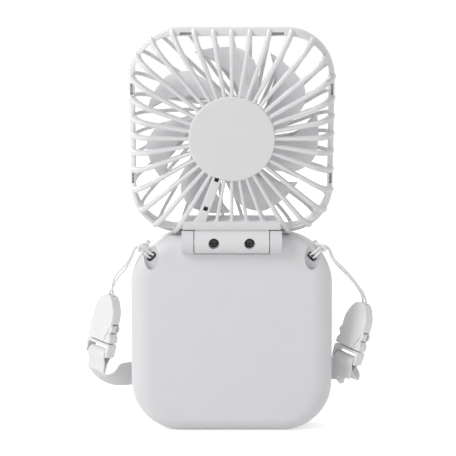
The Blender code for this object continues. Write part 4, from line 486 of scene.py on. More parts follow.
def moulded(name, colour, roughness, metallic):
    """A finish with a fine grain, faintly uneven in colour and gloss."""
    made, tree, shader = empty_finish(name)
    place = tree.nodes.new("ShaderNodeTexCoord").outputs["Object"]
    mottle = noise(tree, place, MOTTLE_SCALE)
    darker = [c * MOTTLE_DARK_SHARE for c in colour]
    lighter = [min(1, c * MOTTLE_LIGHT_SHARE) for c in colour]
    tree.links.new(blend_colours(tree, mottle, darker, lighter), shader.inputs["Base Color"])
    grain = noise(tree, place, GRAIN_SCALE)
    uneven = arithmetic(tree, "MULTIPLY_ADD", grain, GLOSS_SPREAD, roughness - GLOSS_SPREAD / 2)
    tree.links.new(uneven, shader.inputs["Roughness"])
    shader.inputs["Metallic"].default_value = metallic
    relief(tree, shader, grain, GRAIN_DEPTH, GRAIN_STRENGTH)
    return made


def fabric(name, pattern, colour, hollow_shade_share, roughness, sheen, depth, strength):
    """A finish of threads, whose pattern gives the height and the share of the full colour: painted shade
    darkens the hollows.
    """
    made, tree, shader = empty_finish(name)
    parts = tree.nodes.new("ShaderNodeSeparateXYZ")
    tree.links.new(tree.nodes.new("ShaderNodeTexCoord").outputs["UV"], parts.inputs["Vector"])
    height, share = pattern(tree, parts.outputs["X"], parts.outputs["Y"])
    # The darker colour is painted shade in the hollows between the threads.
    darker = [c * hollow_shade_share for c in colour]
    tree.links.new(blend_colours(tree, share, darker, colour), shader.inputs["Base Color"])
    shader.inputs["Roughness"].default_value = roughness
    shader.inputs["Sheen Weight"].default_value = sheen
    relief(tree, shader, height, depth, strength)
    return made


def braid(tree, x, y):
    """Strands that cross round a cord: the map runs along it in metres, and once round it."""
    along = arithmetic(tree, "MULTIPLY", x, math.tau / CORD_PICK)
    around = arithmetic(tree, "MULTIPLY", y, math.tau * CORD_CARRIERS / 2)
    one_way = arithmetic(tree, "SINE", arithmetic(tree, "ADD", along, around))
    other_way = arithmetic(tree, "SINE", arithmetic(tree, "SUBTRACT", along, around))
    height = arithmetic(tree, "MAXIMUM", one_way, other_way)
    # The colour share follows the height, so the hollows between strands take painted shade.
    return height, arithmetic(tree, "MULTIPLY_ADD", height, 0.5, 0.5)


def plain_weave(tree, x, y):
    """Threads over and under each other: the map runs across and along the ribbon in metres."""
    turns = math.pi / WEAVE_PITCH
    warp = arithmetic(tree, "SINE", arithmetic(tree, "MULTIPLY", x, turns))
    weft = arithmetic(tree, "SINE", arithmetic(tree, "MULTIPLY", y, turns))
    height = arithmetic(tree, "ABSOLUTE", arithmetic(tree, "MULTIPLY", warp, weft))
    # The height is also the colour share: painted shade where threads dip under each other.
    return height, height


def make_finishes():
    made = {name: moulded(name, *values) for name, values in FINISHES.items()}
    made["white_cord"] = fabric("white_cord", braid, *CORD_FINISH)
    made["white_ribbon"] = fabric("white_ribbon", plain_weave, *RIBBON_FINISH)
    return made


def dress(finishes):
    """Every solid that stays in view takes the finish of its slot."""
    for entry in frame["record"]["subparts"]:
        mesh = frame["nodes"][entry["node"]].data
        mesh.materials.clear()
        mesh.materials.append(finishes[entry["material_slot"]])


def aim(made, place, target):
    made.location = place
    direction = Vector(target) - Vector(place)
    made.rotation_euler = direction.to_track_quat("-Z", "Y").to_euler()
    bpy.context.scene.collection.objects.link(made)


def make_camera():
    data = bpy.data.cameras.new("camera")
    data.lens = CAMERA_LENS
    data.sensor_width = CAMERA_SENSOR
    camera = bpy.data.objects.new("camera", data)
    rise = math.radians(CAMERA_ELEVATION_DEGREES)
    away = Vector((0, -math.cos(rise), math.sin(rise))) * CAMERA_DISTANCE
    aim(camera, Vector(CAMERA_TARGET) + away, CAMERA_TARGET)
    bpy.context.scene.camera = camera


def make_lamp(name, place, size, power):
    data = bpy.data.lights.new(name, "AREA")
    data.size = size
    data.energy = power
    aim(bpy.data.objects.new(name, data), place, LIGHT_TARGET)


def seen_directly(tree):
    """1 for what the camera, a reflection or a see-through surface shows, and 0 for light."""
    path = tree.nodes.new("ShaderNodeLightPath")
    first = arithmetic(tree, "MAXIMUM", path.outputs["Is Camera Ray"], path.outputs["Is Glossy Ray"])
    return arithmetic(tree, "MAXIMUM", first, path.outputs["Is Transmission Ray"])


def make_world():
    world = bpy.data.worlds.new("world")
    world.use_nodes = True
    tree = world.node_tree
    strength = arithmetic(tree, "MULTIPLY_ADD", seen_directly(tree), 1 - WORLD_LIGHT, WORLD_LIGHT)
    background = tree.nodes["Background"]
    background.inputs["Color"].default_value = (1, 1, 1, 1)
    tree.links.new(strength, background.inputs["Strength"])
    bpy.context.scene.world = world
    bpy.context.scene.view_settings.view_transform = "Standard"


def make_floor():
    finish, tree, shader = empty_finish("floor")
    shader.inputs["Base Color"].default_value = (*FLOOR_COLOUR, 1)
    shader.inputs["Roughness"].default_value = FLOOR_ROUGHNESS
    shader.inputs["Emission Color"].default_value = (1, 1, 1, 1)
    glow = arithmetic(tree, "MULTIPLY", seen_directly(tree), FLOOR_GLOW)
    tree.links.new(glow, shader.inputs["Emission Strength"])
    edit = bmesh.new()
    bmesh.ops.create_grid(edit, size=FLOOR_SIZE / 2)
    floor = object_of("floor", edit, finish)
    floor.location.z = -FLOOR_DROP


def object_of(name, edit, finish=None):
    """An object in the scene, out of an edited mesh."""
    mesh = bpy.data.meshes.new(name)
    edit.to_mesh(mesh)
    edit.free()
    if finish:
        mesh.materials.append(finish)
    made = bpy.data.objects.new(name, mesh)
    bpy.context.scene.collection.objects.link(made)
    return made


def shaded(made, degrees=SHARP_DEGREES):
    made.data.shade_smooth()
    made.data.set_sharp_from_angle(angle=math.radians(degrees))
    return made


def assigned(made, body, slot, *nodes):
    """A piece rides on its body and stands for its solids; its slot is not used."""
    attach(made, body)
    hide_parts(*nodes)


def handed_over(made, finishes, body, slot, *nodes):
    """A finished solid piece: its finish, even shading and its place."""
    made.data.materials.append(finishes[slot])
    if body in HEAD_BODIES:
        made.data.transform(HEAD_FRAME)
    even = made.modifiers.new("even", "WEIGHTED_NORMAL")
    even.keep_sharp = True
    assigned(made, body, slot, *nodes)


def smooth_route(points, step):
    """Evenly spaced points on a smooth curve through the given ones."""
    route = [Vector(p) for p in points]
    ends = [2 * route[0] - route[1], *route, 2 * route[-1] - route[-2]]
    fine = [route[0]]
    for before, a, b, after in zip(ends, ends[1:], ends[2:], ends[3:], strict=False):
        for i in range(1, SPLINE_STEPS + 1):
            t = i / SPLINE_STEPS
            fine.append(
                0.5 * (2 * a + (b - before) * t + (2 * before - 5 * a + 4 * b - after) * t**2
                       + (3 * a - before - 3 * b + after) * t**3)
            )
    lengths = distances(fine)
    count = max(2, round(lengths[-1] / step))
    spaced, k = [], 0
    for i in range(count + 1):
        want = lengths[-1] * i / count
        while k < len(lengths) - 2 and lengths[k + 1] < want:
            k += 1
        t = (want - lengths[k]) / (lengths[k + 1] - lengths[k])
        spaced.append(fine[k].lerp(fine[k + 1], min(1, t)))
    return spaced


def distances(points):
    """How far along a line each of its points is."""
    lengths = [0.0]
    for a, b in zip(points, points[1:], strict=False):
        lengths.append(lengths[-1] + (b - a).length)
    return lengths


def tangent_at(points, i):
    return (points[min(i + 1, len(points) - 1)] - points[max(i - 1, 0)]).normalized()


def mapped_skin(name, rings, mapping, finish):
    """A capped skin over rings, with a map given for each ring and place in it."""
    edit = bmesh.new()
    layer = edit.loops.layers.uv.new("map")
    loops = [[edit.verts.new(p) for p in ring] for ring in rings]
    for i, (first, second) in enumerate(zip(loops, loops[1:], strict=False)):
        for k in range(len(first)):
            n = (k + 1) % len(first)
            face = edit.faces.new((first[k], first[n], second[n], second[k]))
            places = ((i, k), (i, k + 1), (i + 1, k + 1), (i + 1, k))
            for loop, place in zip(face.loops, places, strict=True):
                loop[layer].uv = mapping(*place)
    edit.faces.new(loops[0])
    edit.faces.new(loops[-1])
    bmesh.ops.recalc_face_normals(edit, faces=edit.faces)
    return shaded(object_of(name, edit, finish), BAR_SHARP_DEGREES)


def tube(name, points, radius, finish):
    """A round cord along fine points, with a map along and round it."""
    rings, lengths = [], distances(points)
    normal = tangent_at(points, 0).orthogonal().normalized()
    for i, point in enumerate(points):
        tangent = tangent_at(points, i)
        normal = (normal - tangent * normal.dot(tangent)).normalized()
        side = tangent.cross(normal)
        rings.append([
            point + (normal * math.cos(a) + side * math.sin(a)) * radius
            for a in (math.tau * k / CORD_SIDES for k in range(CORD_SIDES))
        ])
    return mapped_skin(name, rings, lambda i, k: (lengths[i], k / CORD_SIDES), finish)


def corner_route(side):
    """The hitch's points at one corner of the body."""
    (x, z), _ = corner_frame(side)
    out = side * DIAGONAL_SHARE
    return [(x + out * (b - a), y, z + DIAGONAL_SHARE * (a + b)) for a, b, y in CORD_HITCH_ROUTE]


def buckle_frame(place, lean_degrees, yaw_degrees):
    lean = Matrix.Rotation(math.radians(lean_degrees), 4, "Y")
    yaw = Matrix.Rotation(math.radians(yaw_degrees), 4, "Z")
    return Matrix.Translation(place) @ (lean @ yaw)


def make_cord_loop(label, side, hung, up, down, finishes):
    """A doubled cord: its strands meet under the buckle's bar and hitch round the corner post."""
    start = [hung @ Vector((x, 0, z)) for x, z in CORD_EYE_ROUTE]
    end = [hung @ Vector((-x, 0, z)) for x, z in reversed(CORD_EYE_ROUTE)]
    points = smooth_route([*start, *up, *corner_route(side), *down, *end], CORD_STEP)
    made = tube(f"{label}_cord", points, CORD_RADIUS, finishes["white_cord"])
    assigned(made, "body", "white_cord", f"{label}_cord_loop")


def ease(value, low, high):
    t = min(1, max(0, (value - low) / (high - low)))
    return t * t * (3 - 2 * t)


def make_ribbon(left, right, finishes):
    """The woven ribbon, on edge where it passes behind the body, with thicker selvedges."""
    start = [left @ Vector((0, y, z)) for y, z in RIBBON_END_ROUTE]
    end = [right @ Vector((0, y, z)) for y, z in reversed(RIBBON_END_ROUTE)]
    points = smooth_route([*start, *RIBBON_BACK_ROUTE, *end], RIBBON_STEP)
    lengths = distances(points)
    left_across = left.to_3x3() @ Vector((1, 0, 0))
    right_across = right.to_3x3() @ Vector((1, 0, 0))
    rings = []
    for i, point in enumerate(points):
        share = i / (len(points) - 1)
        tangent = tangent_at(points, i)
        on_edge = left_across.lerp(Vector((0, 0, 1)), ease(share, *RIBBON_TURN_IN_SHARES))
        across = on_edge.lerp(right_across, ease(share, *RIBBON_TURN_OUT_SHARES))
        across = (across - tangent * across.dot(tangent)).normalized()
        through = tangent.cross(across)
        rings.append([
            point + across * (a * RIBBON_WIDTH / 2) + through * (b * RIBBON_THICKNESS / 2)
            for a, b in RIBBON_SECTION_SHARES
        ])
    places = [a * RIBBON_WIDTH / 2 for a, _ in (*RIBBON_SECTION_SHARES, RIBBON_SECTION_SHARES[0])]
    finish = finishes["white_ribbon"]
    made = mapped_skin("woven_ribbon", rings, lambda i, k: (places[k], lengths[i]), finish)
    assigned(made, "body", "white_ribbon", "strap_ribbon")


def make_strap(finishes):
    left = buckle_frame(LEFT_BUCKLE_PLACE, LEFT_BUCKLE_LEAN_DEGREES, LEFT_BUCKLE_YAW_DEGREES)
    right = buckle_frame(RIGHT_BUCKLE_PLACE, RIGHT_BUCKLE_LEAN_DEGREES, RIGHT_BUCKLE_YAW_DEGREES)
    for label, hung in (("left", left), ("right", right)):
        make_socket(label, hung, finishes)
        make_clip(label, hung, finishes)
    make_cord_loop("left", -1, left, LEFT_CORD_UP, LEFT_CORD_DOWN, finishes)
    make_cord_loop("right", 1, right, RIGHT_CORD_UP, RIGHT_CORD_DOWN, finishes)
    make_ribbon(left, right, finishes)


def solid(name, rings, closed=False):
    """A skin over rings of points: capped at both ends, or joined end to end."""
    edit = bmesh.new()
    loops = [[edit.verts.new(p) for p in ring] for ring in rings]
    if not closed:
        edit.faces.new(loops[0])
        edit.faces.new(loops[-1])
    following = loops[1:] + loops[:1] if closed else loops[1:]
    for first, second in zip(loops, following, strict=closed):
        for corners in zip(first, first[1:] + first[:1], second[1:] + second[:1], second, strict=True):
            edit.faces.new(corners)
    bmesh.ops.recalc_face_normals(edit, faces=edit.faces)
    return object_of(name, edit)


def joined(name, pieces):
    """One object out of several, which keep their own shapes and sharp edges."""
    edit = bmesh.new()
    for piece in pieces:
        edit.from_mesh(piece.data)
        bpy.data.objects.remove(piece)
    return object_of(name, edit)


def combine(target, operation, *tools):
    for tool in tools:
        made = target.modifiers.new(operation.lower(), "BOOLEAN")
        made.operation = operation
        made.object = tool


def cut(target, *tools):
    combine(target, "DIFFERENCE", *tools)


def tools_of(made):
    found = []
    for modifier in made.modifiers:
        if modifier.type == "BOOLEAN":
            found += [modifier.object, *tools_of(modifier.object)]
    return found


def settled(made, edge=0):
    """Carries out an object's cuts, rounds its sharp edges a little and removes its tools."""
    tools = tools_of(made)
    if edge:
        rounding = made.modifiers.new("edges", "BEVEL")
        rounding.width = edge
        rounding.segments = EDGE_STEPS
        rounding.limit_method = "ANGLE"
        rounding.angle_limit = math.radians(BEVEL_DEGREES)
    mesh = bpy.data.meshes.new_from_object(made.evaluated_get(bpy.context.evaluated_depsgraph_get()))
    made.modifiers.clear()
    made.data = mesh
    for tool in tools:
        bpy.data.objects.remove(tool)
    return shaded(made)


def slab(name, outline, low, high):
    """An outline in x and z, drawn out along y."""
    return solid(name, [[(x, y, z) for x, z in outline] for y in (low, high)])


def block(name, low, high):
    """A box between two corners, as a cutter or a bar to be rounded."""
    corners = ((low[0], low[2]), (high[0], low[2]), (high[0], high[2]), (low[0], high[2]))
    return slab(name, corners, low[1], high[1])


def centred(name, half_x, half_y, low, high):
    """A box about the z axis, from one height to another."""
    return block(name, (-half_x, -half_y, low), (half_x, half_y, high))


def arc(x, z, radius_x, radius_z, start, turn, steps):
    """Points of an ellipse about (x, z), from a start angle through a turn, in degrees."""
    angles = [math.radians(start + turn * i / steps) for i in range(steps + 1)]
    return [(x + radius_x * math.cos(a), z + radius_z * math.sin(a)) for a in angles]


def circle(radius, along, at, segments, axis):
    """Points of a circle about a line through at, at a place along it."""
    ring = []
    for c, s in arc(0, 0, radius, radius, 0, 360, segments)[:-1]:
        place = (along, c, s) if axis == "X" else (c, along, s)
        ring.append(tuple(p + q for p, q in zip(place, at, strict=True)))
    return ring


def turned(name, profile, at=(0, 0, 0), axis="Y", segments=ROUND_SEGMENTS, closed=False):
    """A solid turned from (radius, place along the axis) pairs, about a line through at."""
    return solid(name, [circle(radius, along, at, segments, axis) for radius, along in profile], closed)


def rod(name, radius, low, high, at=(0, 0, 0), axis="Y", segments=SMALL_SEGMENTS):
    return turned(name, [(radius, low), (radius, high)], at, axis, segments)


def along_hinge(name, radius, half, at=(0, AXIS_Y, AXIS_Z)):
    return rod(name, radius, -half, half, at, "X", ROUND_SEGMENTS)


def rounded_outline(outline, side, end):
    """Points of a rounded rectangle in x and z, drawn in by side and end."""
    half, low, high, corner = outline
    right, top, bottom = half - corner, high - corner, low + corner
    points = []
    for start, x, z in ((0, right, top), (90, -right, top), (180, -right, bottom), (270, right, bottom)):
        points += arc(x, z, corner - side, corner - end, start, 90, CORNER_STEPS)
    return points


def outline_ring(outline, side, end, y):
    return [(x, y, z) for x, z in rounded_outline(outline, side, end)]


def quarter(steps):
    """How far a quarter circle has left one side, and still is from the other, in radii."""
    return arc(1, 1, -1, -1, 0, 90, steps)


def heading(degrees):
    return math.cos(math.radians(degrees)), math.sin(math.radians(degrees))


def from_hub(direction, s, w, y):
    """A point of the head at a distance from the hub's middle, and w beside that line."""
    return direction[0] * s - direction[1] * w, y, HUB_HEIGHT + direction[1] * s + direction[0] * w


def rounding(x, y, width, height, steps=ROUND_STEPS):
    """A quarter of an ellipse, from its side at x to its side at y."""
    return [(x + width * away, y + height * near) for away, near in quarter(steps)]


def inset_of(x, _, z):
    """How far a point of the head lies inside its outline."""
    half, low, high, corner = HEAD_OUTLINE
    qx = abs(x) - (half - corner)
    qz = abs(z - (low + high) / 2) - ((high - low) / 2 - corner)
    outside = math.hypot(max(qx, 0), max(qz, 0)) + min(max(qx, qz), 0)
    return corner - outside


def reach(direction, beside, inset):
    """How far a line that passes beside the hub's middle runs until it is so near the outline."""
    near, far = 0.0, HEAD_OUTLINE[0] * 2
    for _ in range(REACH_HALVINGS):
        middle = (near + far) / 2
        if inset_of(*from_hub(direction, middle, beside, 0)) > inset:
            near = middle
        else:
            far = middle
    return near


def shell_layers(fillets, inset, start, stop, steps):
    """Rings of one half of the body, from its face to its open end, drawn in by a wall."""
    side, end, depth = fillets
    inward = math.copysign(1, stop - start)
    layers = [
        outline_ring(BODY_OUTLINE, side * near + inset, end * near + inset, start + inward * depth * away)
        for away, near in quarter(steps)
    ]
    return [*layers, outline_ring(BODY_OUTLINE, inset, inset, stop)]


def corner_frame(side):
    """The middle of a corner tunnel, and the direction along the corner."""
    centre_x = BODY_WIDTH / 2 - BODY_CORNER + DIAGONAL_SHARE * (BODY_CORNER - TUNNEL_INSET)
    centre_z = BODY_HEIGHT - BODY_CORNER + DIAGONAL_SHARE * (BODY_CORNER - TUNNEL_INSET)
    return (side * centre_x, centre_z), (-side * DIAGONAL_SHARE, DIAGONAL_SHARE)


def stadium(centre, direction, length, width):
    """A slot's outline with round ends."""
    half, radius = (length - width) / 2, width / 2
    ends = arc(half, 0, radius, radius, -90, 180, CORNER_STEPS)
    ends += arc(-half, 0, radius, radius, 90, 180, CORNER_STEPS)
    return [
        (centre[0] + direction[0] * along - direction[1] * out,
         centre[1] + direction[1] * along + direction[0] * out)
        for along, out in ends
    ]


def pocket_outline(side, grow):
    """The oval pocket round a tunnel's mouth, grown all round."""
    centre, _ = corner_frame(side)
    return arc(*centre, POCKET_HALF_WIDTH + grow, POCKET_HALF_HEIGHT + grow, 0, 360, ROUND_SEGMENTS)[:-1]


def tunnel_walls(name, side, face, inward, stop):
    """What stays standing inside a shell round a corner tunnel and behind its pocket."""
    centre, along = corner_frame(side)
    outline = stadium(centre, along, TUNNEL_LENGTH + 2 * TUNNEL_WALL, TUNNEL_HEIGHT + 2 * TUNNEL_WALL)
    floor = face + inward * (POCKET_DEPTH + TUNNEL_WALL)
    tube_wall = slab(name + "_wall", outline, *sorted((face, stop)))
    return tube_wall, slab(name + "_pad", pocket_outline(side, TUNNEL_WALL), *sorted((face, floor)))


def cut_tunnels(shell, name, face, inward):
    """Both corner tunnels, with the oval pockets at their mouths."""
    for side, label in SIDES:
        centre, along = corner_frame(side)
        ends = sorted((face - inward * OVERRUN, face + inward * POCKET_DEPTH))
        cut(shell, slab(f"{label}_{name}_tunnel", stadium(centre, along, TUNNEL_LENGTH, TUNNEL_HEIGHT),
                        BACK - 2 * OVERRUN, FRONT + 2 * OVERRUN),
            slab(f"{label}_{name}_pocket", pocket_outline(side, 0), *ends))


def half_shell(name, fillets, face, inward, open_end, *walls):
    """A hollow half of the body, with walls left standing inside, also round both tunnels."""
    shell = solid(f"{name}_shell", shell_layers(fillets, 0, face, open_end, FILLET_STEPS))
    layers = shell_layers(fillets, WALL, face + inward * WALL, PARTING + inward * OVERRUN, INNER_STEPS)
    hollow = solid(f"{name}_hollow", layers)
    cut(hollow, *walls)
    for side, label in SIDES:
        cut(hollow, *tunnel_walls(f"{label}_{name}", side, face, inward, open_end))
    cut(shell, hollow)
    return shell


def make_back_shell(finishes):
    """The plain back half, with the outer knuckles and the mouths of both tunnels."""
    well_wall = along_hinge("well_wall", WELL_RADIUS + WALL, BARREL_HALF + WALL)
    shell = half_shell("back", BACK_FILLETS, BACK, 1, PARTING, well_wall)
    combine(shell, "UNION", along_hinge("barrel", BARREL_RADIUS, BARREL_HALF))
    cut(shell, along_hinge("well", WELL_RADIUS, CENTRE_KNUCKLE_HALF + FIT_GAP))
    cut_tunnels(shell, "back", BACK, 1)
    handed_over(settled(shell, SHELL_EDGE), finishes, "body", "white_shell", "body_back_shell")


def make_front_shell(finishes):
    """The front half, with the holes for the button, the lens and the port."""
    shell = half_shell("front", FRONT_FILLETS, FRONT, -1, PARTING + FIT_GAP)
    cut_tunnels(shell, "front", FRONT, -1)
    inner, outer = FRONT - WALL - OVERRUN, FRONT + OVERRUN
    at = (0, 0, BUTTON_HEIGHT_ON_BODY)
    cut(shell, rod("button_hole", BUTTON_RADIUS + FIT_GAP, inner, outer, at, segments=ROUND_SEGMENTS))
    width, height = 2 * (LENS_HALF_WIDTH + FIT_GAP), 2 * (LENS_HALF_HEIGHT + FIT_GAP)
    cut(shell, slab("lens_hole", stadium((0, LENS_HEIGHT_ON_BODY), (1, 0), width, height), inner, outer))
    port = stadium((0, BOARD_BACK - FIT_GAP - PORT_THICKNESS / 2), (1, 0), PORT_WIDTH + 2 * FIT_GAP,
                   PORT_THICKNESS + 2 * FIT_GAP)
    cut(shell, solid("port_hole", [[(x, y, z) for x, y in port] for z in (-OVERRUN, WALL + OVERRUN)]))
    handed_over(settled(shell, SHELL_EDGE), finishes, "body", "white_shell", "body_front_shell")


def make_button(finishes):
    """The power button, slightly dished, with its flange inside the shell."""
    flange, flange_top = BUTTON_RADIUS + BUTTON_FLANGE, FRONT - WALL - FIT_GAP
    crown, crown_radius = FRONT + BUTTON_PROUD, BUTTON_RADIUS - BUTTON_PROUD
    profile = [(flange, flange_top - BUTTON_FLANGE_THICKNESS), (flange, flange_top),
               (BUTTON_RADIUS, flange_top), (BUTTON_RADIUS, FRONT)]
    profile += rounding(BUTTON_RADIUS, crown, -BUTTON_PROUD, -BUTTON_PROUD, EDGE_STEPS)[1:]
    for i in range(1, FILLET_STEPS):
        share = 1 - i / FILLET_STEPS
        profile.append((crown_radius * share, crown - BUTTON_DISH * (1 - share**2)))
    button = turned("front_button", profile, (0, 0, BUTTON_HEIGHT_ON_BODY))
    handed_over(shaded(button), finishes, "button", "white_shell", "power_button")


def is_bracket_rib(direction):
    """Whether a rib runs into the hinge bracket instead of the rim."""
    end = reach(direction, 0, 0)
    return direction[1] < 0 and abs(direction[0] * end) < BRACKET_HALF + RIB_FOOT_WIDTH / 2


def bent_path(direction, beside, drop, edge, fillet, depth, root):
    """(distance from the hub's middle, depth) along one side of a rib that bends at the outline."""
    path = [
        (reach(direction, beside, edge + (fillet - edge) * near), drop + (depth - drop) * away)
        for away, near in reversed(quarter(RIB_STEPS))
    ]
    return [*path, (root, drop)]


def rib_solid(name, direction, near, far, halves, shares, beside=0, face=RIB_FACE, inward=1):
    """A bar whose section goes from one path to another, with a half width for each place."""
    rings = []
    for (s1, d1), (s2, d2), half in zip(near, far, halves, strict=True):
        rings.append([
            from_hub(direction, s1 + (s2 - s1) * deep, beside + wide * half,
                     face + inward * (d1 + (d2 - d1) * deep))
            for deep, wide in shares
        ])
    return solid(name, rings)


def rim_rib(name, direction):
    """A rib that grows a little wider from the hub to its foot on the rim."""
    depth, root = RIM_PLANE - 2 * RIB_SETBACK, HUB_RADIUS - RIB_ROOT
    near, far = (
        bent_path(direction, 0, drop, drop - RIB_PROUD, RIB_FILLET, depth, root) for drop in (0, RIB_DEPTH)
    )
    length = near[0][0] - near[-1][0]
    halves = [(RIB_WIDTH + (RIB_FOOT_WIDTH - RIB_WIDTH) * (s - near[-1][0]) / length) / 2 for s, _ in near]
    return rib_solid(name, direction, near, far, halves, RIB_SECTION_SHARES)


def bracket_rib(name, direction, width, depth, shares):
    """A straight rib that spreads where it runs into the bracket."""
    foot = (BRACKET_TOP - RIB_FOOT_IN_BRACKET - HUB_HEIGHT) / direction[1]
    top = (BRACKET_TOP - HUB_HEIGHT) / direction[1]
    places = [(foot, RIB_WEB), *rounding(top, 0, -RIB_WEB, RIB_WEB, WEB_STEPS), (HUB_RADIUS - RIB_ROOT, 0)]
    near, far = [(s, 0) for s, _ in places], [(s, depth) for s, _ in places]
    return rib_solid(name, direction, near, far, [width / 2 + spread for _, spread in places], shares)


def make_ribs():
    ribs = []
    for i in range(RIB_COUNT):
        degrees = 360 * i / RIB_COUNT
        direction, name = heading(degrees), f"rib_{i}"
        if abs(degrees - CHANNEL_RIB_DEGREES) < 180 / RIB_COUNT:
            wide = bracket_rib(name, direction, CHANNEL_RIB_WIDTH, CHANNEL_RIB_DEPTH, WIDE_SECTION_SHARES)
            cut(wide, channel_cutter(), *window_cutters("rib"))
            ribs.append(settled(wide))
        elif is_bracket_rib(direction):
            ribs.append(shaded(bracket_rib(name, direction, RIB_WIDTH, RIB_DEPTH, RIB_SECTION_SHARES)))
        else:
            ribs.append(shaded(rim_rib(name, direction), BAR_SHARP_DEGREES))
    return ribs


def along_channel(name, start, stop, width, low, high):
    """A bar along the wire channel, from one distance from the hub's middle to another."""
    direction, half = heading(CHANNEL_RIB_DEGREES), width / 2
    corners = ((start, -half), (stop, -half), (stop, half), (start, half))
    return solid(name, [[from_hub(direction, s, w, y) for s, w in corners] for y in (low, high)])


def channel_length(height):
    return (height - HUB_HEIGHT) / heading(CHANNEL_RIB_DEGREES)[1]


def channel_cutter():
    return along_channel("channel", HUB_RADIUS - HUB_EDGE, channel_length(CHANNEL_END_HEIGHT), CHANNEL_WIDTH,
                         RIB_FACE + CHANNEL_SKIN, HEAD_BACK + HUB_THICKNESS + OVERRUN)


def window_cutters(name):
    return [
        along_channel(f"{name}_window_{i}", middle - WINDOW_SIZE / 2, middle + WINDOW_SIZE / 2, WINDOW_SIZE,
                      HEAD_BACK - OVERRUN, RIB_FACE + CHANNEL_SKIN * 2)
        for i, middle in enumerate(WINDOW_DISTANCES)
    ]


def latch_bars(name, shrink, low, high):
    """A bar in each of the rim's six latch slots, or as each slot's cutter."""
    half_width, _, top, _ = HEAD_OUTLINE
    long, thin = LATCH_LENGTH / 2 - shrink, LATCH_THICKNESS / 2 - shrink
    places = [(sign * LATCH_OFFSET, top - LATCH_INSET, long, thin) for sign in (-1, 1)]
    for sign in (-1, 1):
        for offset in (-LATCH_OFFSET, LATCH_OFFSET):
            places.append((sign * (half_width - LATCH_INSET), HUB_HEIGHT + offset, thin, long))
    return [
        block(f"{name}_{i}", (x - half_x, low, z - half_z), (x + half_x, high, z + half_z))
        for i, (x, z, half_x, half_z) in enumerate(places)
    ]


def outline_band(name, profile):
    """A closed band round the head, from (inset, y) pairs."""
    return solid(name, [outline_ring(HEAD_OUTLINE, inset, inset, y) for inset, y in profile], closed=True)


def make_rim():
    """The rounded rim that the ribs stand on, with its latch slots."""
    profile = [(RIM_WIDTH - RIM_EDGE, RIM_PLANE), (RIM_EDGE, RIM_PLANE), (0, RIM_PLANE - RIM_EDGE)]
    profile += rounding(0, RIM_PLANE - RIM_HEIGHT, RIM_WIDTH, RIM_HEIGHT, FILLET_STEPS)[1:]
    profile.append((RIM_WIDTH, RIM_PLANE - RIM_EDGE))
    rim = outline_band("rim", [(inset, HEAD_BACK + below) for inset, below in profile])
    cut(rim, *latch_bars("latch_slot", 0, HEAD_BACK, HEAD_BACK + RIM_PLANE + OVERRUN))
    return settled(rim)


def make_hub():
    profile = [*reversed(rounding(HUB_RADIUS, HEAD_BACK, -HUB_EDGE, HUB_EDGE)),
               (HUB_RADIUS, HEAD_BACK + HUB_THICKNESS)]
    hub = turned("hub", profile, (0, 0, HUB_HEIGHT))
    cut(hub, channel_cutter(), *window_cutters("hub"))
    return settled(hub)


def half_barrel(name, side):
    """Half of the centre knuckle: side is -1 for the cover and 1 for the inner half."""
    start = math.degrees(math.asin(FIT_GAP / 2 / BARREL_RADIUS))
    outline = arc(0, 0, BARREL_RADIUS, side * BARREL_RADIUS, start, 180 - 2 * start, ROUND_SEGMENTS // 2)
    ends = (-CENTRE_KNUCKLE_HALF, CENTRE_KNUCKLE_HALF)
    return solid(name, [[(x, y, z) for z, y in outline] for x in ends])


def make_bracket():
    """The bracket over the hinge and the inner half of its knuckle."""
    bracket = block("bracket", (-BRACKET_HALF, HEAD_BACK + BRACKET_SETBACK, BRACKET_LOW),
                    (BRACKET_HALF, HEAD_BACK + BRACKET_DEPTH, BRACKET_TOP))
    cut(bracket, along_hinge("bracket_hollow", WELL_RADIUS, BARREL_HALF + OVERRUN, (0, 0, 0)))
    cut(bracket, channel_cutter())
    neck = block("neck", (-CENTRE_KNUCKLE_HALF, HEAD_BACK + 2 * BRACKET_SETBACK, BRACKET_LOW),
                 (CENTRE_KNUCKLE_HALF, WELL_RADIUS + BRACKET_LOW, BRACKET_TOP - BRACKET_LOW))
    return settled(bracket, BRACKET_EDGE), shaded(half_barrel("inner_knuckle", 1)), settled(neck, COVER_EDGE)


def make_rear_grille(finishes):
    grille = joined("rear_grille", [make_rim(), make_hub(), *make_ribs(), *make_bracket()])
    handed_over(grille, finishes, "head", "white_head", "head_back_grille")


def slanted_rib(index, face):
    """A bar that passes beside the hub's middle, and bends over the edge down to the wall."""
    direction = heading(90 + 360 * index / SLANT_COUNT)
    root = math.sqrt(GRILLE_HUB_RADIUS**2 - SLANT_OFFSET**2) - SLANT_WIDTH / 2
    paths = []
    for drop in (0, SLANT_DEPTH):
        edge = SLANT_INSET + drop
        foot = (reach(direction, -SLANT_OFFSET, edge), GRILLE_FILLET_DEPTH + SLANT_FOOT)
        bend = bent_path(direction, -SLANT_OFFSET, drop, edge, GRILLE_FILLET, GRILLE_FILLET_DEPTH, root)
        paths.append([foot, *bend])
    halves = [-SLANT_WIDTH / 2] * len(paths[0])
    rib = rib_solid(f"slant_{index}", direction, *paths, halves, RIB_SECTION_SHARES, -SLANT_OFFSET, face, -1)
    return shaded(rib, BAR_SHARP_DEGREES)


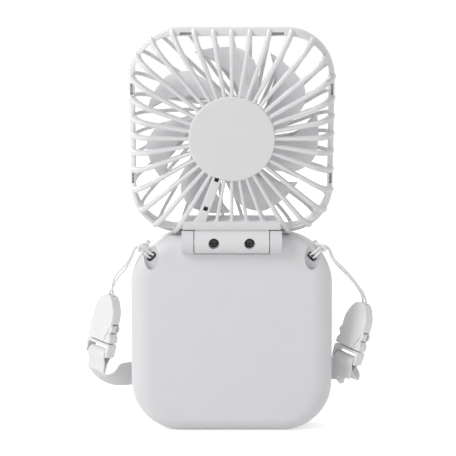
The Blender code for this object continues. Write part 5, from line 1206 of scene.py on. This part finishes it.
def make_front_grille(finishes):
    """Side wall, slanted ribs and the plain front hub."""
    face = HEAD_BACK + HEAD_DEPTH
    parting = HEAD_BACK + RIM_PLANE + FIT_GAP
    wall_end = face - GRILLE_FILLET_DEPTH
    profile = [(RIM_EDGE, parting), (0, parting + RIM_EDGE),
               *rounding(0, wall_end, GRILLE_EDGE, -GRILLE_EDGE), (WALL - RIM_EDGE, wall_end),
               (WALL, wall_end - RIM_EDGE), (WALL, parting + RIM_EDGE), (WALL - RIM_EDGE, parting)]
    hub_face = face - GRILLE_HUB_RECESS
    hub_profile = [(GRILLE_HUB_RADIUS, hub_face - GRILLE_HUB_THICKNESS),
                   *rounding(GRILLE_HUB_RADIUS, hub_face, -HUB_EDGE, -HUB_EDGE)]
    hub = shaded(turned("front_hub", hub_profile, (0, 0, HUB_HEIGHT)))
    tabs = [shaded(tab) for tab in latch_bars("latch_tab", FIT_GAP, parting - TAB_HEIGHT, parting + TAB_ROOT)]
    slants = [slanted_rib(i, face) for i in range(SLANT_COUNT)]
    grille = joined("front_grille", [shaded(outline_band("wall", profile)), hub, *tabs, *slants])
    handed_over(grille, finishes, "head", "white_head", "head_front_grille")


def blade_rings(first_angle, root_radius, middle):
    """One blade as rings across its chord, thin, twisted, with one tip corner rounded off."""
    rings = []
    for column in range(BLADE_COLUMNS):
        c = column / (BLADE_COLUMNS - 1)
        rounding = max(0, 1 - c / BLADE_ROUND_SHARE)
        tip = BLADE_TIP_RADIUS - BLADE_TIP_ROUND * rounding**2
        thin = BLADE_EDGE_SHARE + (1 - BLADE_EDGE_SHARE) * math.sqrt(math.sin(math.pi * c))
        back, front = [], []
        for row in range(BLADE_ROWS):
            v = row / (BLADE_ROWS - 1)
            radius = root_radius + (tip - root_radius) * v
            share = (radius - root_radius) / (BLADE_TIP_RADIUS - root_radius)
            arc = BLADE_ROOT_ARC_DEGREES + (BLADE_TIP_ARC_DEGREES - BLADE_ROOT_ARC_DEGREES) * share
            pitch = BLADE_ROOT_PITCH + (BLADE_TIP_PITCH - BLADE_ROOT_PITCH) * share
            angle = first_angle + math.radians((c - 0.5) * arc + (share - 1) * BLADE_SWEEP_DEGREES)
            camber = pitch * BLADE_CAMBER_SHARE * math.sin(math.pi * c)
            y = middle + (c - 0.5) * pitch - camber + pitch * BLADE_SHIFT_SHARE
            half = BLADE_THICKNESS / 2 * thin * (1 - (1 - BLADE_EDGE_SHARE) * v**BLADE_TIP_POWER)
            x, z = radius * math.cos(angle), HUB_HEIGHT + radius * math.sin(angle)
            back.append((x, y - half, z))
            front.append((x, y + half, z))
        rings.append(back + front[::-1])
    return rings


def make_impeller(finishes):
    """Seven thin twisted blades on a cup that fits over the motor."""
    outer = CUP_INNER + CUP_WALL
    low = MOTOR_BASE + CUP_START
    face = low + CUP_LENGTH
    profile = [(outer, low), *rounding(outer, face, -CUP_ROUND, -CUP_ROUND), (CUP_BORE, face),
               (CUP_BORE, face - CUP_WALL), (CUP_INNER, face - CUP_WALL), (CUP_INNER, low)]
    parts = [shaded(turned("cup", profile, (0, 0, HUB_HEIGHT), closed=True))]
    for i in range(BLADE_COUNT):
        angle = math.radians(BLADE_FIRST_DEGREES) - math.tau * i / BLADE_COUNT
        rings = blade_rings(angle, outer - CUP_WALL / 2, (low + face) / 2)
        parts.append(shaded(solid(f"blade_{i}", rings), BAR_SHARP_DEGREES))
    handed_over(joined("fan_blades", parts), finishes, "rotor", "white_blade", "impeller")


def make_knuckle_cover(finishes):
    """The outer half of the centre knuckle, with two deep round recesses for its screws."""
    cover = half_barrel("knuckle_cover", -1)
    outside, floor = -BARREL_RADIUS - OVERRUN, -BARREL_RADIUS + SCREW_RECESS_DEPTH
    for side, label in SIDES:
        at = (side * HINGE_SCREW_SPACING / 2, 0, HINGE_SCREW_LIFT)
        cut(cover, rod(f"{label}_hole", SCREW_SHANK_RADIUS + FIT_GAP, outside, OVERRUN, at))
        cut(cover, rod(f"{label}_recess", SCREW_HEAD_RADIUS + FIT_GAP, outside, floor, at,
                       segments=ROUND_SEGMENTS))
    handed_over(settled(cover, COVER_EDGE), finishes, "head", "white_head", "hinge_cover")


def make_hinge_screw(label, side, finishes):
    """A pan-head screw with a tapered cross recess."""
    x = side * HINGE_SCREW_SPACING / 2
    under = -BARREL_RADIUS + SCREW_RECESS_DEPTH - FIT_GAP
    top = under - SCREW_HEAD_HEIGHT
    crown = math.radians(SCREW_CROWN_DEGREES)
    profile = []
    for i in range(FILLET_STEPS + 1):
        a = crown + (math.pi / 2 - crown) * i / FILLET_STEPS
        profile.append((SCREW_HEAD_RADIUS * math.sin(a),
                        top + SCREW_HEAD_HEIGHT * (math.cos(crown) - math.cos(a))))
    profile += [(SCREW_HEAD_RADIUS, under), (SCREW_SHANK_RADIUS, under),
                (SCREW_SHANK_RADIUS, under + HINGE_SCREW_LENGTH)]
    screw = turned(f"cover_screw_{label}", profile, (x, 0, HINGE_SCREW_LIFT))
    ends = ((top - CROSS_DEPTH, 1 + CROSS_TAPER_SHARE), (top + CROSS_DEPTH, CROSS_TAPER_SHARE))
    for name, wide, tall in (("flat", CROSS_ARM, CROSS_WIDTH / 2), ("tall", CROSS_WIDTH / 2, CROSS_ARM)):
        rings = [
            [(x + wide * share * a, y, HINGE_SCREW_LIFT + tall * share * b) for a, b in SQUARE_SHARES]
            for y, share in ends
        ]
        cut(screw, solid(f"{name}_recess", rings))
    handed_over(settled(screw), finishes, "head", "black_screw", f"hinge_screw_{label}")


def make_lead(name, route, radius, finishes, body, slot, node):
    lead = tube(name, smooth_route(route, CORD_STEP), radius, finishes[slot])
    if body in HEAD_BODIES:
        lead.data.transform(HEAD_FRAME)
    assigned(lead, body, slot, node)


def make_motor_leads(finishes):
    """The two leads in the channel behind the wide rib, dark in its windows."""
    y = RIB_FACE + CHANNEL_SKIN + FIT_GAP + MOTOR_LEAD_RADIUS
    stops = (HUB_RADIUS - HUB_EDGE + FIT_GAP, channel_length(BRACKET_TOP),
             channel_length(CHANNEL_END_HEIGHT) - FIT_GAP)
    for side, label in SIDES:
        w = side * MOTOR_LEAD_SPACING / 2
        route = [from_hub(heading(CHANNEL_RIB_DEGREES), s, w, y) for s in stops]
        make_lead(f"{label}_motor_wire", route, MOTOR_LEAD_RADIUS, finishes, "head", "dark_part",
                  f"motor_lead_{label}")


def make_body_leads(finishes):
    """The cell's leads to the board, and the board's leads to the hinge."""
    half = CELL_LENGTH / 2
    route = [(half + x, y, CELL_HEIGHT + z) for x, y, z in CELL_LEAD_START_ROUTE]
    route += [(BOARD_WIDTH / 2 + x, y, BOARD_HIGH + z) for x, y, z in CELL_LEAD_END_ROUTE]
    mirrored = [(-x, y, z) for x, y, z in route]
    make_lead("plus_wire", route, BODY_LEAD_RADIUS, finishes, "body", "red_lead", "battery_lead_plus")
    make_lead("minus_wire", mirrored, BODY_LEAD_RADIUS, finishes, "body", "dark_part", "battery_lead_minus")
    route = [(x, y, BOARD_HIGH + z) for x, y, z in BODY_LEAD_START_ROUTE]
    route += [(x, y, AXIS_Z + z) for x, y, z in BODY_LEAD_END_ROUTE]
    for (side, label), slot in zip(SIDES, ("dark_part", "red_lead"), strict=True):
        shifted = [(x + side * BODY_LEAD_SPACING / 2, y, z) for x, y, z in route]
        make_lead(f"{label}_hinge_wire", shifted, BODY_LEAD_RADIUS, finishes, "body", slot,
                  f"hinge_lead_{label}")


def buckle_outline(low, high, shares):
    """A buckle half's symmetric outline in x and z, as smooth curves down both sides."""
    places = [(share * BUCKLE_WIDTH / 2, 0, low + along * (high - low)) for along, share in shares]
    side = [(p.x, p.z) for p in smooth_route(places, BUCKLE_STEP)]
    return side + [(-x, z) for x, z in reversed(side)]


def slit_cutter(name, side):
    """The slanted slit of the face that looks to -y, or of the other one half a turn round."""
    outline = [(x - half, z) for x, z, half in SLIT_PLACES]
    outline += [(x + half, z) for x, z, half in reversed(SLIT_PLACES)]
    face = side * BUCKLE_THICKNESS / 2
    ends = sorted((face - side * SLIT_DEPTH, face + side * OVERRUN))
    return slab(name, [(-side * x, z) for x, z in outline], *ends)


def hang(label, half, parts, hung, finishes):
    """A buckle half out of its parts, in its place on the strap."""
    made = joined(f"{label}_{half}", parts)
    made.data.transform(hung)
    handed_over(made, finishes, "body", "white_buckle", f"{label}_buckle_{half}")


def make_socket(label, hung, finishes):
    """The half that hangs on the cord, with a bar for it in the pocket of its top end."""
    half, deep = BUCKLE_THICKNESS / 2, SOCKET_POCKET_HALF_THICKNESS
    outline = buckle_outline(SOCKET_LOW, SOCKET_HIGH, SOCKET_OUTLINE_SHARES)
    shell = settled(slab("socket_shell", outline, -half, half), BUCKLE_EDGE)
    cut(shell, centred("pocket", SOCKET_POCKET_HALF_WIDTH, deep, SOCKET_LOW - OVERRUN, SOCKET_POCKET_TOP))
    cut(shell, centred("windows", BUCKLE_WIDTH, deep, SOCKET_WINDOW_LOW, SOCKET_WINDOW_HIGH))
    eye = centred("eye", SOCKET_EYE_HALF_WIDTH, SOCKET_EYE_HALF_THICKNESS, SOCKET_EYE_LOW,
                  SOCKET_HIGH + OVERRUN)
    cut(eye, rod("bar", SOCKET_BAR_RADIUS, -OVERRUN, OVERRUN, (0, 0, SOCKET_BAR_HEIGHT)))
    cut(shell, eye, slit_cutter("back_slit", -1), slit_cutter("front_slit", 1))
    hang(label, "socket", [settled(shell)], hung, finishes)


def prong(side, clip_top):
    """A springy arm of the clip, and the grip that shows in the socket's side."""
    arm_ends = sorted((side * PRONG_INNER, side * PRONG_OUTER))
    grip_ends = sorted((side * (PRONG_INNER + PRONG_OUTER) / 2, side * PRONG_GRIP_REACH))
    inner = PRONG_HALF_THICKNESS - BUCKLE_GAP / 4
    arm = block("arm", (arm_ends[0], -PRONG_HALF_THICKNESS, clip_top - BUCKLE_GAP),
                (arm_ends[1], PRONG_HALF_THICKNESS, PRONG_TOP))
    grip = block("grip", (grip_ends[0], -inner, PRONG_GRIP_LOW), (grip_ends[1], inner, PRONG_GRIP_HIGH))
    return settled(arm, BUCKLE_FINE_EDGE), settled(grip, BUCKLE_FINE_EDGE)


def make_clip(label, hung, finishes):
    """The half that holds the ribbon: a frame with a bar across it, two prongs and a tongue."""
    half = BUCKLE_THICKNESS / 2
    clip_top = SOCKET_LOW - BUCKLE_GAP
    slot_low = CLIP_LOW + CLIP_BAR
    outline = buckle_outline(CLIP_LOW, clip_top, CLIP_OUTLINE_SHARES)
    body = settled(slab("clip_body", outline, -half, half), BUCKLE_EDGE)
    cut(body, centred("clip_slot", CLIP_SLOT_HALF_WIDTH, OVERRUN, CLIP_LOW - OVERRUN,
                      slot_low + CLIP_SLOT_HEIGHT))
    bar = centred("clip_bar", CLIP_SLOT_HALF_WIDTH + BUCKLE_GAP, CLIP_BAR_HALF_THICKNESS, CLIP_LOW, slot_low)
    tongue = centred("tongue", TONGUE_HALF_WIDTH, PRONG_HALF_THICKNESS, clip_top - BUCKLE_GAP, TONGUE_TOP)
    parts = [settled(body, BUCKLE_FINE_EDGE), settled(bar, BUCKLE_EDGE), settled(tongue, BUCKLE_FINE_EDGE)]
    hang(label, "clip", [*parts, *prong(-1, clip_top), *prong(1, clip_top)], hung, finishes)


def build():
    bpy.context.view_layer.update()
    make_world()
    make_floor()
    make_camera()
    for name, values in LAMPS.items():
        make_lamp(name, *values)
    finishes = make_finishes()
    dress(finishes)
    make_strap(finishes)
    make_back_shell(finishes)
    make_front_shell(finishes)
    make_button(finishes)
    make_rear_grille(finishes)
    make_front_grille(finishes)
    make_impeller(finishes)
    make_knuckle_cover(finishes)
    for side, label in SIDES:
        make_hinge_screw(label, side, finishes)
    make_motor_leads(finishes)
    make_body_leads(finishes)


build()
